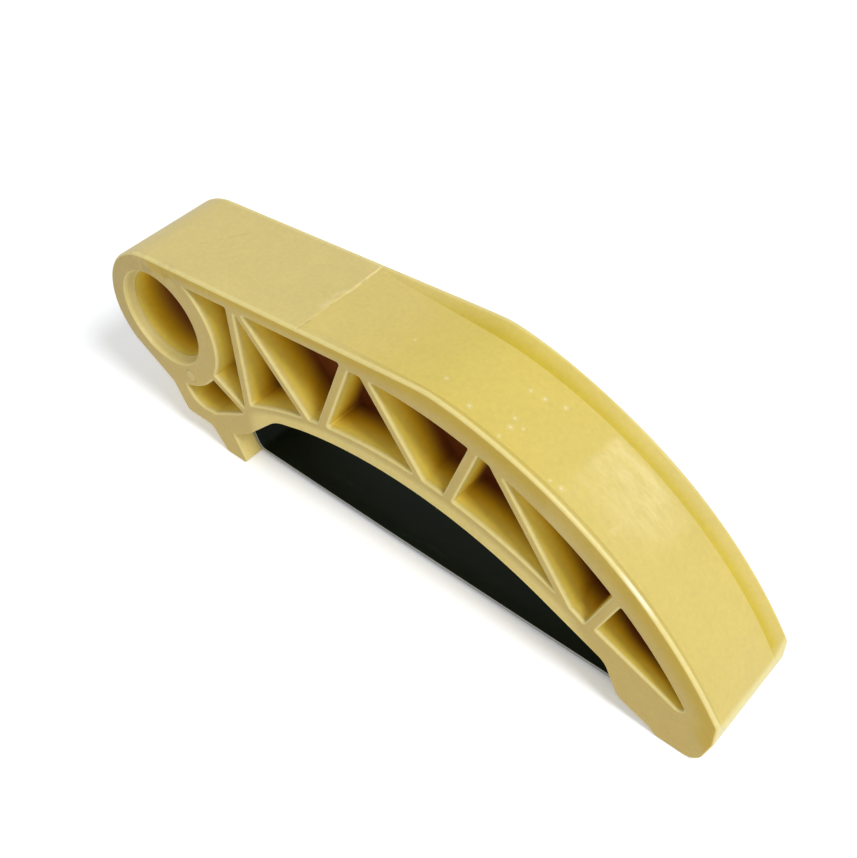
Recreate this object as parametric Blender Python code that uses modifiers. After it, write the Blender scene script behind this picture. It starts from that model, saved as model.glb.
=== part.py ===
"""Timing chain guide: a ribbed plastic arm that swings on a pivot boss, with a
steel leaf spring held under its arch.

The plane of the side faces is X (along the guide) and Z (up); Y is the width.
The profile is drawn from the pivot axis, with the guide standing on its foot
and heel, and the finished part is moved so that the middle of its footprint
is the origin.
"""
import math

import bmesh
import bpy
from mathutils import Matrix, Vector

MM = 0.001

# Overall sizes
BODY_WIDTH = 17.0 * MM
PIVOT_HEIGHT = 20.7 * MM
CLEARANCE = 0.3 * MM

# Pivot boss
BOSS_RADIUS = 10.7 * MM
BOSS_OFFSET = Vector((0.2, 0.1)) * MM
RING_RADIUS = 11.5 * MM
BORE_RADIUS = 7.2 * MM
LEAD_IN_RADIUS = 7.5 * MM
LEAD_IN_DEPTH = 1.9 * MM
RIM_CHAMFER = 0.15 * MM

# Flat top and curved running face
TOP_TILT = math.radians(6.0)
SEAM_DISTANCE = 30.0 * MM
SEAM_STEP = 0.1 * MM
CURVE_START = 39.5 * MM
RUN_RADIUS = 58.3 * MM
LIP_HEIGHT = 1.4 * MM
LIP_ARC_RISE = 1.2 * MM
LIP_TOP_WIDTH = 0.6 * MM
LIP_SLOPE = 1.3
SHOULDER_BLEND = 0.08 * MM

# Nose
NOSE_HEIGHT = 9.1 * MM
NOSE_FACE_HEIGHT = 5.6 * MM
NOSE_FACE_LEAN = math.radians(2.0)
NOSE_LEAN = math.radians(16.0)
NOSE_TIP_RADIUS = 1.0 * MM
NOSE_TOE_RADIUS = 2.8 * MM

# Arch on the underside
ARCH_CREST_X = 44.0 * MM
ARCH_CREST_HEIGHT = 17.8 * MM
ARCH_RADIUS = 61.0 * MM
ARCH_LEFT_X = 22.3 * MM
ARCH_BLEND_LENGTH = 5.0 * MM
ARCH_BLEND_RADIUS = 7.0 * MM
ARCH_RIGHT_SETBACK = 26.27 * MM

# Foot below the boss
FOOT_TIP_X = 14.5 * MM
FOOT_LENGTH = 4.2 * MM
FOOT_CORNER_X = 12.4 * MM
FOOT_CORNER_HEIGHT = 5.0 * MM
FOOT_ROOT_X = 15.9 * MM
FOOT_ROOT_HEIGHT = 7.2 * MM
SHOULDER_HEIGHT = 3.8 * MM
SHOULDER_RIGHT_X = 7.5 * MM
SHOULDER_LEFT_X = 2.3 * MM
NECK_ANGLE = math.radians(226.0)
NECK_X = 0.0 * MM
NECK_HEIGHT = 8.4 * MM

# Heel, measured back from the nose
HEEL_STEP_TOP_SETBACK = 16.17 * MM
HEEL_STEP_FOOT_SETBACK = 13.77 * MM
HEEL_STEP_FOOT_HEIGHT = 2.9 * MM
HEEL_EDGE_SETBACK = 8.77 * MM
HEEL_EDGE_HEIGHT = 1.0 * MM
HEEL_PAD_SETBACK = 7.67 * MM

# Rounding of the outline's own corners
SMALL_CORNER = 0.4 * MM
MEDIUM_CORNER = 1.4 * MM
LARGE_CORNER = 3.0 * MM

# Rounding of the edges between the side faces and the rest
RUNNING_EDGE_RADIUS = 0.9 * MM
PLAIN_EDGE_RADIUS = 0.3 * MM
EDGE_SEGMENTS = 3

# Ribs and the pockets between them
WEB_THICKNESS = 3.6 * MM
FLAT_CHORD = 2.25 * MM
CURVED_CHORD = 2.7 * MM
FLOOR_CREST_X = 45.5 * MM
FLOOR_CREST_HEIGHT = 20.95 * MM
FLOOR_RADIUS = 60.0 * MM
UPRIGHT_RIB = 1.5 * MM
SLANTED_RIB = 1.3 * MM
POCKET_CORNER = 0.5 * MM
POCKET_END_CORNER = 0.9 * MM
POCKET_DRAFT = 0.12 * MM
POCKET_MOUTH = 0.2 * MM

# Ribs: where each one's middle meets the top chord and the pockets' floor, as shares of
# the stretch from the first rib's top to the last one's, and its thickness
TRUSS_START_X = 16.0 * MM
TRUSS_END_SETBACK = 15.67 * MM
RIB_A = (0.0, 0.011, UPRIGHT_RIB)
RIB_B = (0.0, 0.202, SLANTED_RIB)
RIB_D = (0.334, 0.252, UPRIGHT_RIB)
RIB_E = (0.386, 0.520, SLANTED_RIB)
RIB_F = (0.659, 0.596, UPRIGHT_RIB)
RIB_G = (0.713, 0.885, SLANTED_RIB)
RIB_H = (1.0, 0.948, UPRIGHT_RIB)
RIB_B_TOP_STEP = 1.52 * MM

# Short rib from the boss to the foot of rib A, measured from that foot
STRUT_START = Vector((10.4, 14.7)) * MM
STRUT_END_OFFSET = Vector((-1.3, -1.58)) * MM

# Pocket under the boss and pocket in the nose
UNDER_LEFT_ANGLE = math.radians(285.0)
UNDER_CORNERS = (
    Vector((3.3, 8.9)) * MM,
    Vector((4.4, 7.2)) * MM,
    Vector((6.3, 6.7)) * MM,
    Vector((8.7, 6.95)) * MM,
)
UNDER_END_OFFSET = Vector((-1.4, -2.58)) * MM
NOSE_FLOOR_START_SETBACK = 17.77 * MM
NOSE_FLOOR_START_HEIGHT = 12.9 * MM
NOSE_FLOOR_END_SETBACK = 5.47 * MM
NOSE_FLOOR_END_HEIGHT = 7.8 * MM
NOSE_POCKET_END_SETBACK = 4.47 * MM

# Round marks left by the mould's ejector pins
EJECTOR_RADIUS = 1.25 * MM
EJECTOR_DEPTH = 0.15 * MM
EJECTOR_ANGLES = (math.radians(63.0), math.radians(-59.0))

# Leaf spring and the channel that holds its free end
LEAF_THICKNESS = 0.6 * MM
LEAF_WIDTH = 11.0 * MM
LEAF_BEND_RADIUS = 1.3 * MM
LEAF_SAG = 0.25 * MM
LEAF_HOOK_HEIGHT = 4.4 * MM
CHANNEL_START_SETBACK = 16.07 * MM
CHANNEL_END_SETBACK = 7.07 * MM
CHANNEL_CEILING = 1.7 * MM
CHANNEL_SIDE_PLAY = 0.5 * MM

# Fineness of curves
CHORD_STEP = 2.4 * MM
BOSS_STEP = math.radians(5.0)
BORE_STEPS = 72
CORNER_STEP = math.radians(15.0)
OVERCUT = 2.0 * MM

PIVOT = Vector((0.0, PIVOT_HEIGHT))
BOSS_CENTRE = PIVOT + BOSS_OFFSET
ALONG = Vector((math.cos(TOP_TILT), math.sin(TOP_TILT)))
UPWARD = Vector((-math.sin(TOP_TILT), math.cos(TOP_TILT)))
LIP_RADIUS = RUN_RADIUS + LIP_HEIGHT
TOP_RADIUS = LIP_RADIUS - LIP_ARC_RISE
RUN_CENTRE = BOSS_CENTRE + UPWARD * (BOSS_RADIUS - TOP_RADIUS) + ALONG * CURVE_START
ARCH_CENTRE = Vector((ARCH_CREST_X, ARCH_CREST_HEIGHT - ARCH_RADIUS))
FLOOR_CENTRE = Vector((FLOOR_CREST_X, FLOOR_CREST_HEIGHT - FLOOR_RADIUS))


def polar(centre, radius, angle):
    """Point at a radius and angle about a centre."""
    return centre + Vector((math.cos(angle), math.sin(angle))) * radius


def arc(centre, radius, start, end, step):
    """Points along an arc from one angle to another, both ends included."""
    count = max(1, math.ceil(abs(end - start) / step))
    return [polar(centre, radius, start + (end - start) * i / count) for i in range(count + 1)]


def crossing(p, d, q, e):
    """Point where the line through p along d meets the line through q along e."""
    cross = d.x * e.y - d.y * e.x
    gap = q - p
    return p + d * ((gap.x * e.y - gap.y * e.x) / cross)


def circle_height(centre, radius, x):
    """Height of the upper half of a circle at x."""
    return centre.y + math.sqrt(radius ** 2 - (x - centre.x) ** 2)


def under_flat(x):
    """Underside of the top chord below the flat top."""
    start = BOSS_CENTRE + UPWARD * (BOSS_RADIUS - FLAT_CHORD)
    return start.y + (x - start.x) * math.tan(TOP_TILT)


def under_run(x):
    """Underside of the top chord below the running face."""
    radius = RUN_RADIUS - CURVED_CHORD
    tangent = RUN_CENTRE + UPWARD * radius
    if x < tangent.x:
        return tangent.y + (x - tangent.x) * math.tan(TOP_TILT)
    return circle_height(RUN_CENTRE, radius, x)


def pocket_floor(x):
    """Upper side of the lower chord."""
    return circle_height(FLOOR_CENTRE, FLOOR_RADIUS, x)


def on(height, x):
    """Point of a height curve at x."""
    return Vector((x, height(x)))


def along_curve(height, x_from, x_to):
    """Points of a height curve between two x values, both ends included."""
    count = max(1, math.ceil(abs(x_to - x_from) / CHORD_STEP))
    return [on(height, x_from + (x_to - x_from) * i / count) for i in range(count + 1)]


def nose_angle():
    """Angle about the run's centre at which the lips reach the end face."""
    return math.asin((NOSE_HEIGHT - RUN_CENTRE.y) / LIP_RADIUS)


def nose_corner():
    """Corner between the lips and the end face, before it is rounded."""
    return polar(RUN_CENTRE, LIP_RADIUS, nose_angle())


def lip_reach(turn):
    """Distance of the lips' top from the run's centre, at a turn past the curve's start."""
    flat = TOP_RADIUS / math.cos(turn)
    blend = SHOULDER_BLEND * min(1.0, turn / math.radians(9.0))
    return (flat + LIP_RADIUS) / 2.0 - math.hypot((flat - LIP_RADIUS) / 2.0, blend)


def meet(p, d, height, guess):
    """x where the line through p along d crosses a height curve near the guess."""
    x = guess
    for _ in range(30):
        tangent = (height(x + 0.01 * MM) - height(x - 0.01 * MM)) / (0.02 * MM)
        hit = crossing(p, d, on(height, x), Vector((1.0, tangent)))
        x = hit.x
    return x


def rounded(corners):
    """Outline points from (point, radius) pairs, each corner replaced by its fillet."""
    points = []
    total = len(corners)
    for i, (point, radius) in enumerate(corners):
        if radius <= 0.0:
            points.append(point.copy())
            continue
        before = corners[i - 1][0] - point
        after = corners[(i + 1) % total][0] - point
        half = before.angle(after) / 2.0
        reach = min(radius / math.tan(half), 0.48 * before.length, 0.48 * after.length)
        used = reach * math.tan(half)
        bisector = (before.normalized() + after.normalized()).normalized()
        centre = point + bisector * (used / math.sin(half))
        first = point + before.normalized() * reach - centre
        last = point + after.normalized() * reach - centre
        start = math.atan2(first.y, first.x)
        sweep = math.atan2(last.y, last.x) - start
        sweep = (sweep + math.pi) % (2.0 * math.pi) - math.pi
        points += arc(centre, used, start, start + sweep, CORNER_STEP)
    return points


def plain(points):
    """Points that keep their place in a rounded outline."""
    return [(point, 0.0) for point in points]


def offset(points, distances):
    """Closed counter-clockwise outline with each point moved outwards by its distance."""
    moved = []
    total = len(points)
    for i, point in enumerate(points):
        before = (point - points[i - 1]).normalized()
        after = (points[(i + 1) % total] - point).normalized()
        normal = Vector((before.y + after.y, -before.x - after.x)).normalized()
        spread = max(0.5, normal.dot(Vector((after.y, -after.x))))
        moved.append(point + normal * (distances[i] / spread))
    return moved


def counter_clockwise(points):
    """The outline in counter-clockwise order."""
    area = sum(a.x * b.y - b.x * a.y for a, b in zip(points, points[1:] + points[:1]))
    return points if area > 0.0 else points[::-1]


def body_outline():
    """Side view of the guide, counter-clockwise from the top of the boss."""
    top_angle = math.pi / 2.0 + TOP_TILT
    nose = nose_corner()
    corners = plain(arc(BOSS_CENTRE, BOSS_RADIUS, top_angle, NECK_ANGLE, BOSS_STEP))
    corners.append((Vector((NECK_X, NECK_HEIGHT)), MEDIUM_CORNER))
    corners.append((Vector((SHOULDER_LEFT_X, SHOULDER_HEIGHT)), MEDIUM_CORNER))
    corners.append((Vector((SHOULDER_RIGHT_X, SHOULDER_HEIGHT)), MEDIUM_CORNER))
    corners.append((Vector((FOOT_TIP_X - FOOT_LENGTH, 0.0)), SMALL_CORNER))
    corners.append((Vector((FOOT_TIP_X, 0.0)), SMALL_CORNER))
    corners.append((Vector((FOOT_CORNER_X, FOOT_CORNER_HEIGHT)), SMALL_CORNER))
    corners.append((Vector((FOOT_ROOT_X, FOOT_ROOT_HEIGHT)), LARGE_CORNER))
    corners.append((on(arch_height, ARCH_LEFT_X), ARCH_BLEND_RADIUS))
    arch_start = ARCH_LEFT_X + ARCH_BLEND_LENGTH
    corners += plain(along_curve(arch_height, arch_start, nose.x - ARCH_RIGHT_SETBACK))
    arch_end = on(arch_height, nose.x - ARCH_RIGHT_SETBACK)
    slope = math.tan(math.asin((arch_end.x - ARCH_CENTRE.x) / ARCH_RADIUS))
    fall = (ARCH_RIGHT_SETBACK - HEEL_STEP_TOP_SETBACK) * slope
    step_top = Vector((nose.x - HEEL_STEP_TOP_SETBACK, arch_end.y - fall))
    corners.append((step_top, LARGE_CORNER))
    corners.append((Vector((nose.x - HEEL_STEP_FOOT_SETBACK, HEEL_STEP_FOOT_HEIGHT)), LARGE_CORNER))
    corners.append((Vector((nose.x - HEEL_EDGE_SETBACK, HEEL_EDGE_HEIGHT)), SMALL_CORNER))
    corners.append((Vector((nose.x - HEEL_PAD_SETBACK, 0.0)), SMALL_CORNER))
    face = nose.x - (nose.y - NOSE_FACE_HEIGHT) * math.tan(NOSE_FACE_LEAN)
    toe = Vector((face - NOSE_FACE_HEIGHT * math.tan(NOSE_LEAN), 0.0))
    corners.append((toe, NOSE_TOE_RADIUS))
    corners.append((Vector((face, NOSE_FACE_HEIGHT)), LARGE_CORNER))
    corners.append((nose, NOSE_TIP_RADIUS))
    turn = top_angle - nose_angle()
    count = math.ceil(turn * LIP_RADIUS / CHORD_STEP)
    for i in range(1, count):
        angle = turn * (1.0 - i / count)
        corners.append((polar(RUN_CENTRE, lip_reach(angle), top_angle - angle), 0.0))
    return rounded(corners)


def arch_height(x):
    """Underside of the lower chord."""
    return circle_height(ARCH_CENTRE, ARCH_RADIUS, x)


class Rib:
    """A straight rib between the top chord and the floor of the pockets."""

    def __init__(self, size, top_curve, floor_curve, top_step=0.0):
        top_share, foot_share, thickness = size
        span = nose_corner().x - TRUSS_END_SETBACK - TRUSS_START_X
        self.top = on(top_curve, TRUSS_START_X + span * top_share + top_step)
        self.foot = on(floor_curve, TRUSS_START_X + span * foot_share)
        self.direction = (self.top - self.foot).normalized()
        self.right = Vector((self.direction.y, -self.direction.x)) * (thickness / 2.0)

    def side(self, sign):
        """A point of the rib's left (-1) or right (+1) side."""
        return self.foot + self.right * sign


def pocket_between(left, right, top_curve, floor_curve):
    """Outline of the pocket between two ribs, cut square by the chords."""
    p, d = left.side(1), left.direction
    q, e = right.side(-1), right.direction
    apex = crossing(p, d, q, e)
    corners = []
    top_left = meet(p, d, top_curve, left.top.x)
    top_right = meet(q, e, top_curve, right.top.x)
    if top_left < top_right:
        corners.append((on(top_curve, top_left), POCKET_CORNER))
        corners += plain(along_curve(top_curve, top_left, top_right)[1:-1])
        corners.append((on(top_curve, top_right), POCKET_CORNER))
    else:
        corners.append((apex, POCKET_CORNER))
    foot_right = meet(q, e, floor_curve, right.foot.x)
    foot_left = meet(p, d, floor_curve, left.foot.x)
    if foot_left < foot_right:
        corners.append((on(floor_curve, foot_right), POCKET_CORNER))
        corners += plain(along_curve(floor_curve, foot_right, foot_left)[1:-1])
        corners.append((on(floor_curve, foot_left), POCKET_CORNER))
    else:
        corners.append((apex, POCKET_CORNER))
    return rounded(corners)


def ring_angle(p, d, nearest):
    """Angle about the pivot where the line through p along d cuts the ring round the bore."""
    d = d.normalized()
    middle = p + d * (PIVOT - p).dot(d)
    half = math.sqrt(RING_RADIUS ** 2 - (middle - PIVOT).length_squared)
    hits = [middle + d * half, middle - d * half]
    hit = min(hits, key=lambda point: (point - nearest).length)
    return math.atan2(hit.y - PIVOT.y, hit.x - PIVOT.x)


def pocket_beside_boss(rib):
    """Pocket between the boss, the flat top, the first rib and the strut."""
    strut = (rib.foot + STRUT_END_OFFSET - STRUT_START).normalized()
    above = Vector((-strut.y, strut.x)) * (SLANTED_RIB / 2.0)
    side, upright = rib.side(-1), rib.direction
    low = crossing(STRUT_START + above, strut, side, upright)
    top_right = on(under_flat, meet(side, upright, under_flat, rib.top.x))
    roof = BOSS_CENTRE + UPWARD * (BOSS_RADIUS - FLAT_CHORD)
    start = ring_angle(roof, ALONG, top_right)
    end = ring_angle(STRUT_START + above, strut, STRUT_START)
    ring = arc(PIVOT, RING_RADIUS, end, start, BOSS_STEP)
    corners = [(low, POCKET_CORNER), (top_right, POCKET_CORNER), (ring[-1], 0.0)]
    corners += plain(ring[1:-1][::-1])
    corners.append((ring[0], POCKET_CORNER))
    return rounded(corners)


def pocket_under_boss(rib):
    """Pocket between the boss, the strut and the shoulder of the foot."""
    strut = (rib.foot + STRUT_END_OFFSET - STRUT_START).normalized()
    below = Vector((strut.y, -strut.x)) * (SLANTED_RIB / 2.0)
    last = ring_angle(STRUT_START + below, strut, STRUT_START) % (2.0 * math.pi)
    ring = arc(PIVOT, RING_RADIUS, last, UNDER_LEFT_ANGLE, BOSS_STEP)
    floor = rib.foot + UNDER_END_OFFSET - UNDER_CORNERS[-1]
    end = crossing(STRUT_START + below, strut, UNDER_CORNERS[-1], floor)
    corners = [(end, POCKET_CORNER), (ring[0], POCKET_CORNER)] + plain(ring[1:-1])
    corners.append((ring[-1], POCKET_CORNER))
    corners += [(corner, MEDIUM_CORNER) for corner in UNDER_CORNERS]
    return rounded(corners)


def pocket_in_nose(rib):
    """Long narrow pocket behind the last rib, with a round end."""
    side, upright = rib.side(1), rib.direction
    nose = nose_corner()
    floor_start = Vector((nose.x - NOSE_FLOOR_START_SETBACK, NOSE_FLOOR_START_HEIGHT))
    floor_end = Vector((nose.x - NOSE_FLOOR_END_SETBACK, NOSE_FLOOR_END_HEIGHT))
    low = crossing(side, upright, floor_start, floor_end - floor_start)
    top_x = meet(side, upright, under_run, rib.top.x)
    corners = [(low, POCKET_CORNER), (floor_end, POCKET_END_CORNER)]
    roof = along_curve(under_run, nose.x - NOSE_POCKET_END_SETBACK, top_x)
    corners.append((roof[0], POCKET_END_CORNER))
    corners += plain(roof[1:-1])
    corners.append((roof[-1], POCKET_CORNER))
    return rounded(corners)


def pockets():
    """Outlines of every pocket on one side of the web."""
    a = Rib(RIB_A, under_flat, pocket_floor)
    b = Rib(RIB_B, under_flat, pocket_floor, RIB_B_TOP_STEP)
    d, e = Rib(RIB_D, under_flat, pocket_floor), Rib(RIB_E, under_run, pocket_floor)
    f, g = Rib(RIB_F, under_run, pocket_floor), Rib(RIB_G, under_run, pocket_floor)
    h = Rib(RIB_H, under_run, pocket_floor)
    outlines = [
        pocket_beside_boss(a),
        pocket_under_boss(a),
        pocket_between(a, b, under_flat, pocket_floor),
        pocket_between(b, d, under_flat, pocket_floor),
        pocket_between(d, e, under_run, pocket_floor),
        pocket_between(e, f, under_run, pocket_floor),
        pocket_between(f, g, under_run, pocket_floor),
        pocket_between(g, h, under_run, pocket_floor),
        pocket_in_nose(h),
    ]
    return [counter_clockwise(outline) for outline in outlines]


def new_collection(name):
    """A collection of the given name in the scene."""
    collection = bpy.data.collections.new(name)
    bpy.context.scene.collection.children.link(collection)
    return collection


def material(name, colour, roughness, metallic):
    """A Principled material."""
    result = bpy.data.materials.new(name)
    result.use_nodes = True
    shader = result.node_tree.nodes["Principled BSDF"]
    shader.inputs["Base Color"].default_value = (*colour, 1.0)
    shader.inputs["Roughness"].default_value = roughness
    shader.inputs["Metallic"].default_value = metallic
    return result


def add_object(name, mesh, collection):
    """An object of the mesh in a collection."""
    result = bpy.data.objects.new(name, mesh)
    collection.objects.link(result)
    return result


def mesh_from(bm, name):
    """A mesh of the bmesh, with its faces turned outwards."""
    bmesh.ops.recalc_face_normals(bm, faces=bm.faces)
    mesh = bpy.data.meshes.new(name)
    bm.to_mesh(mesh)
    bm.free()
    return mesh


def plate(name, points, thickness, collection):
    """A flat outline given a thickness, as a mesh that stands in the XZ plane."""
    curve = bpy.data.curves.new(name, "CURVE")
    curve.dimensions = "2D"
    curve.fill_mode = "BOTH"
    curve.extrude = thickness / 2.0
    spline = curve.splines.new("POLY")
    spline.points.add(len(points) - 1)
    for target, point in zip(spline.points, points):
        target.co = (point.x, point.y, 0.0, 1.0)
    spline.use_cyclic_u = True
    source = add_object(name + "_curve", curve, collection)
    source.rotation_euler = (math.pi / 2.0, 0.0, 0.0)
    bpy.context.view_layer.update()
    evaluated = source.evaluated_get(bpy.context.evaluated_depsgraph_get())
    mesh = bpy.data.meshes.new_from_object(evaluated)
    mesh.name = name
    mesh.transform(source.matrix_world)
    bpy.data.objects.remove(source)
    bm = bmesh.new()
    bm.from_mesh(mesh)
    bmesh.ops.remove_doubles(bm, verts=bm.verts, dist=0.001 * MM)
    bmesh.ops.dissolve_limit(bm, angle_limit=math.radians(0.05), verts=bm.verts, edges=bm.edges)
    bmesh.ops.recalc_face_normals(bm, faces=bm.faces)
    bm.to_mesh(mesh)
    bm.free()
    return add_object(name, mesh, collection)


def loft(name, loops, collection):
    """A closed solid bridged between loops of equal point count."""
    bm = bmesh.new()
    rings = []
    for loop in loops:
        verts = [bm.verts.new(point) for point in loop]
        rings.append([bm.edges.new((verts[i - 1], verts[i])) for i in range(len(verts))])
    for first, second in zip(rings, rings[1:]):
        bmesh.ops.bridge_loops(bm, edges=first + second)
    bmesh.ops.contextual_create(bm, geom=rings[0])
    bmesh.ops.contextual_create(bm, geom=rings[-1])
    return add_object(name, mesh_from(bm, name), collection)


def pocket_cutter(name, outline, side, collection):
    """Cutter for one pocket: flared at its mouth, drafted down to the web."""
    face = BODY_WIDTH / 2.0
    floor = WEB_THICKNESS / 2.0
    levels = [
        (face + OVERCUT, POCKET_MOUTH),
        (face, POCKET_MOUTH),
        (face - POCKET_MOUTH * 0.35, POCKET_MOUTH * 0.35),
        (face - POCKET_MOUTH, 0.0),
        (floor, -POCKET_DRAFT),
    ]
    loops = []
    for depth, growth in levels:
        loops.append([Vector((p.x, side * depth, p.y)) for p in offset(outline, [growth] * len(outline))])
    return loft(name, loops, collection)


def run_depth(distance):
    """How far the running face lies below the lips at a distance along the top."""
    shoulder = CURVE_START + TOP_RADIUS * math.tan(math.acos(TOP_RADIUS / LIP_RADIUS))
    share = min(1.0, max(0.0, (distance - SEAM_DISTANCE) / (shoulder - SEAM_DISTANCE)))
    return SEAM_STEP + (LIP_HEIGHT - SEAM_STEP) * share ** 0.8


def channel_section(height):
    """Half outline (across, up) of the trough: its edge on the run, and its slope past the lip."""
    half = BODY_WIDTH / 2.0 - LIP_TOP_WIDTH
    return [
        (half - LIP_SLOPE * height, 0.0),
        (half + LIP_SLOPE * OVERCUT, height + OVERCUT),
    ]


def channel_cutter(collection):
    """Trough between the lips, which deepens from the seam to the lips' full height."""
    count = math.ceil((CURVE_START - SEAM_DISTANCE) / CHORD_STEP)
    stations = []
    for i in range(count):
        distance = SEAM_DISTANCE + (CURVE_START - SEAM_DISTANCE) * i / count
        height = run_depth(distance)
        top = BOSS_CENTRE + UPWARD * BOSS_RADIUS + ALONG * distance
        stations.append((top - UPWARD * height, UPWARD, height))
    start = math.pi / 2.0 + TOP_TILT
    turn = start - nose_angle() + math.radians(8.0)
    count = math.ceil(turn * RUN_RADIUS / CHORD_STEP)
    for i in range(count + 1):
        angle = turn * i / count
        outward = Vector((math.cos(start - angle), math.sin(start - angle)))
        height = run_depth(CURVE_START + TOP_RADIUS * math.tan(angle))
        stations.append((RUN_CENTRE + outward * (lip_reach(angle) - height), outward, height))
    loops = []
    for base, outward, height in stations:
        section = channel_section(height)
        loop = []
        for across, up in section:
            point = base + outward * up
            loop.append(Vector((point.x, across, point.y)))
        loop += [Vector((p.x, -p.y, p.z)) for p in reversed(loop)]
        loops.append(loop)
    return loft("running_channel_cut", loops, collection)


def bore_cutter(collection):
    """Turned cutter for the pivot bore, with a lead-in and a small chamfer at each face."""
    half = BODY_WIDTH / 2.0
    upper = [
        (0.0, half + OVERCUT),
        (LEAD_IN_RADIUS + RIM_CHAMFER, half + OVERCUT),
        (LEAD_IN_RADIUS + RIM_CHAMFER, half),
        (LEAD_IN_RADIUS, half - RIM_CHAMFER),
        (BORE_RADIUS, half - LEAD_IN_DEPTH),
    ]
    profile = upper + [(radius, -height) for radius, height in reversed(upper)]
    bm = bmesh.new()
    verts = [bm.verts.new((radius, 0.0, height)) for radius, height in profile]
    for first, second in zip(verts, verts[1:]):
        bm.edges.new((first, second))
    mesh = bpy.data.meshes.new("bore_cut")
    bm.to_mesh(mesh)
    bm.free()
    cutter = add_object("bore_cut", mesh, collection)
    screw = cutter.modifiers.new("Screw", "SCREW")
    screw.axis = "Z"
    screw.steps = BORE_STEPS
    screw.render_steps = BORE_STEPS
    screw.use_merge_vertices = True
    screw.merge_threshold = 0.001 * MM
    cutter.location = (PIVOT.x, 0.0, PIVOT.y)
    cutter.rotation_euler = (math.pi / 2.0, 0.0, 0.0)
    return cutter


def ejector_cutter(name, angle, collection):
    """Shallow round mark on the boss's near face."""
    centre = polar(PIVOT, (RING_RADIUS + LEAD_IN_RADIUS) / 2.0, angle)
    bm = bmesh.new()
    bmesh.ops.create_cone(
        bm, cap_ends=True, segments=32, radius1=EJECTOR_RADIUS, radius2=EJECTOR_RADIUS,
        depth=2.0 * EJECTOR_DEPTH,
        matrix=Matrix.Rotation(math.pi / 2.0, 4, "X"),
    )
    cutter = add_object(name, mesh_from(bm, name), collection)
    cutter.location = (centre.x, -BODY_WIDTH / 2.0, centre.y)
    return cutter


def leaf_channel_cutter(collection):
    """Channel under the heel, open below, that the leaf's free end slides in."""
    length = CHANNEL_START_SETBACK - CHANNEL_END_SETBACK
    start = nose_corner().x - CHANNEL_START_SETBACK
    width = LEAF_WIDTH + 2.0 * CHANNEL_SIDE_PLAY
    height = CHANNEL_CEILING + OVERCUT
    bm = bmesh.new()
    bmesh.ops.create_cube(bm, size=1.0, matrix=Matrix.Diagonal((length, width, height, 1.0)))
    cutter = add_object("leaf_channel_cut", mesh_from(bm, "leaf_channel_cut"), collection)
    cutter.location = (start + length / 2.0, 0.0, CHANNEL_CEILING - height / 2.0)
    return cutter


def edge_radius(point):
    """Rounding of the side face's edge at a point of the outline."""
    nose = nose_corner()
    if point.x < BOSS_CENTRE.x:
        share = (point.y - BOSS_CENTRE.y) / BOSS_RADIUS
    elif point.x > nose.x - NOSE_TOE_RADIUS:
        share = (point.y - NOSE_TOE_RADIUS) / (nose.y - NOSE_TOE_RADIUS)
    else:
        share = 1.0 if point.y > under_run(point.x) else 0.0
    share = min(1.0, max(0.0, share))
    return PLAIN_EDGE_RADIUS + (RUNNING_EDGE_RADIUS - PLAIN_EDGE_RADIUS) * share


def rounded_plate(name, outline, collection):
    """A plate of the outline as wide as the guide, with the edges of its side faces rounded."""
    radii = [edge_radius(point) for point in outline]
    loops = []
    for side in (-1.0, 1.0):
        for i in range(EDGE_SEGMENTS + 1):
            angle = math.pi / 2.0 * i / EDGE_SEGMENTS
            moved = offset(outline, [-radius * (1.0 - math.cos(angle)) for radius in radii])
            loop = []
            for point, radius in zip(moved, radii):
                depth = BODY_WIDTH / 2.0 - radius * (1.0 - math.sin(angle))
                loop.append(Vector((point.x, side * depth, point.y)))
            if side < 0.0:
                loops.insert(0, loop)
            else:
                loops.append(loop)
    return loft(name, loops, collection)


def guide_body(parts, cutters):
    """The moulded arm: outline, trough, pockets, bore and the leaf's channel."""
    body = rounded_plate("guide_body", body_outline(), parts)
    channel_cutter(cutters)
    bore_cutter(cutters)
    leaf_channel_cutter(cutters)
    for i, outline in enumerate(pockets()):
        for side, word in ((-1.0, "near"), (1.0, "far")):
            pocket_cutter(f"pocket_{i + 1}_{word}_cut", outline, side, cutters)
    for i, angle in enumerate(EJECTOR_ANGLES):
        ejector_cutter(f"ejector_mark_{i + 1}_cut", angle, cutters)
    for cutter in cutters.objects:
        cut = body.modifiers.new(cutter.name, "BOOLEAN")
        cut.operation = "DIFFERENCE"
        cut.object = cutter
        cut.solver = "EXACT"
    body.data.materials.append(material("natural_nylon", (0.66, 0.53, 0.21), 0.42, 0.0))
    return body


def leaf_path():
    """Middle line of the leaf, from its hooked end to the heel."""
    half = LEAF_THICKNESS / 2.0
    tip, corner = Vector((FOOT_TIP_X, 0.0)), Vector((FOOT_CORNER_X, FOOT_CORNER_HEIGHT))
    foot = (tip - corner).normalized()
    inward = Vector((-foot.y, foot.x))
    start = corner + inward * (CLEARANCE + half)
    level = CHANNEL_CEILING - CLEARANCE - half
    end = Vector((nose_corner().x - CHANNEL_END_SETBACK - CLEARANCE, level))
    hook = crossing(start, foot, Vector((0.0, LEAF_HOOK_HEIGHT)), Vector((1.0, 0.0)))
    bend = crossing(start, foot, Vector((0.0, level)), Vector((1.0, 0.0)))
    count = 12
    run = []
    for i in range(1, count):
        t = i / count
        run.append(Vector((bend.x + (end.x - bend.x) * t, level - 4.0 * LEAF_SAG * t * (1.0 - t))))
    corners = [(hook, 0.0), (bend, LEAF_BEND_RADIUS)] + plain(run) + [(end, 0.0)]
    return rounded(corners)


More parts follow.
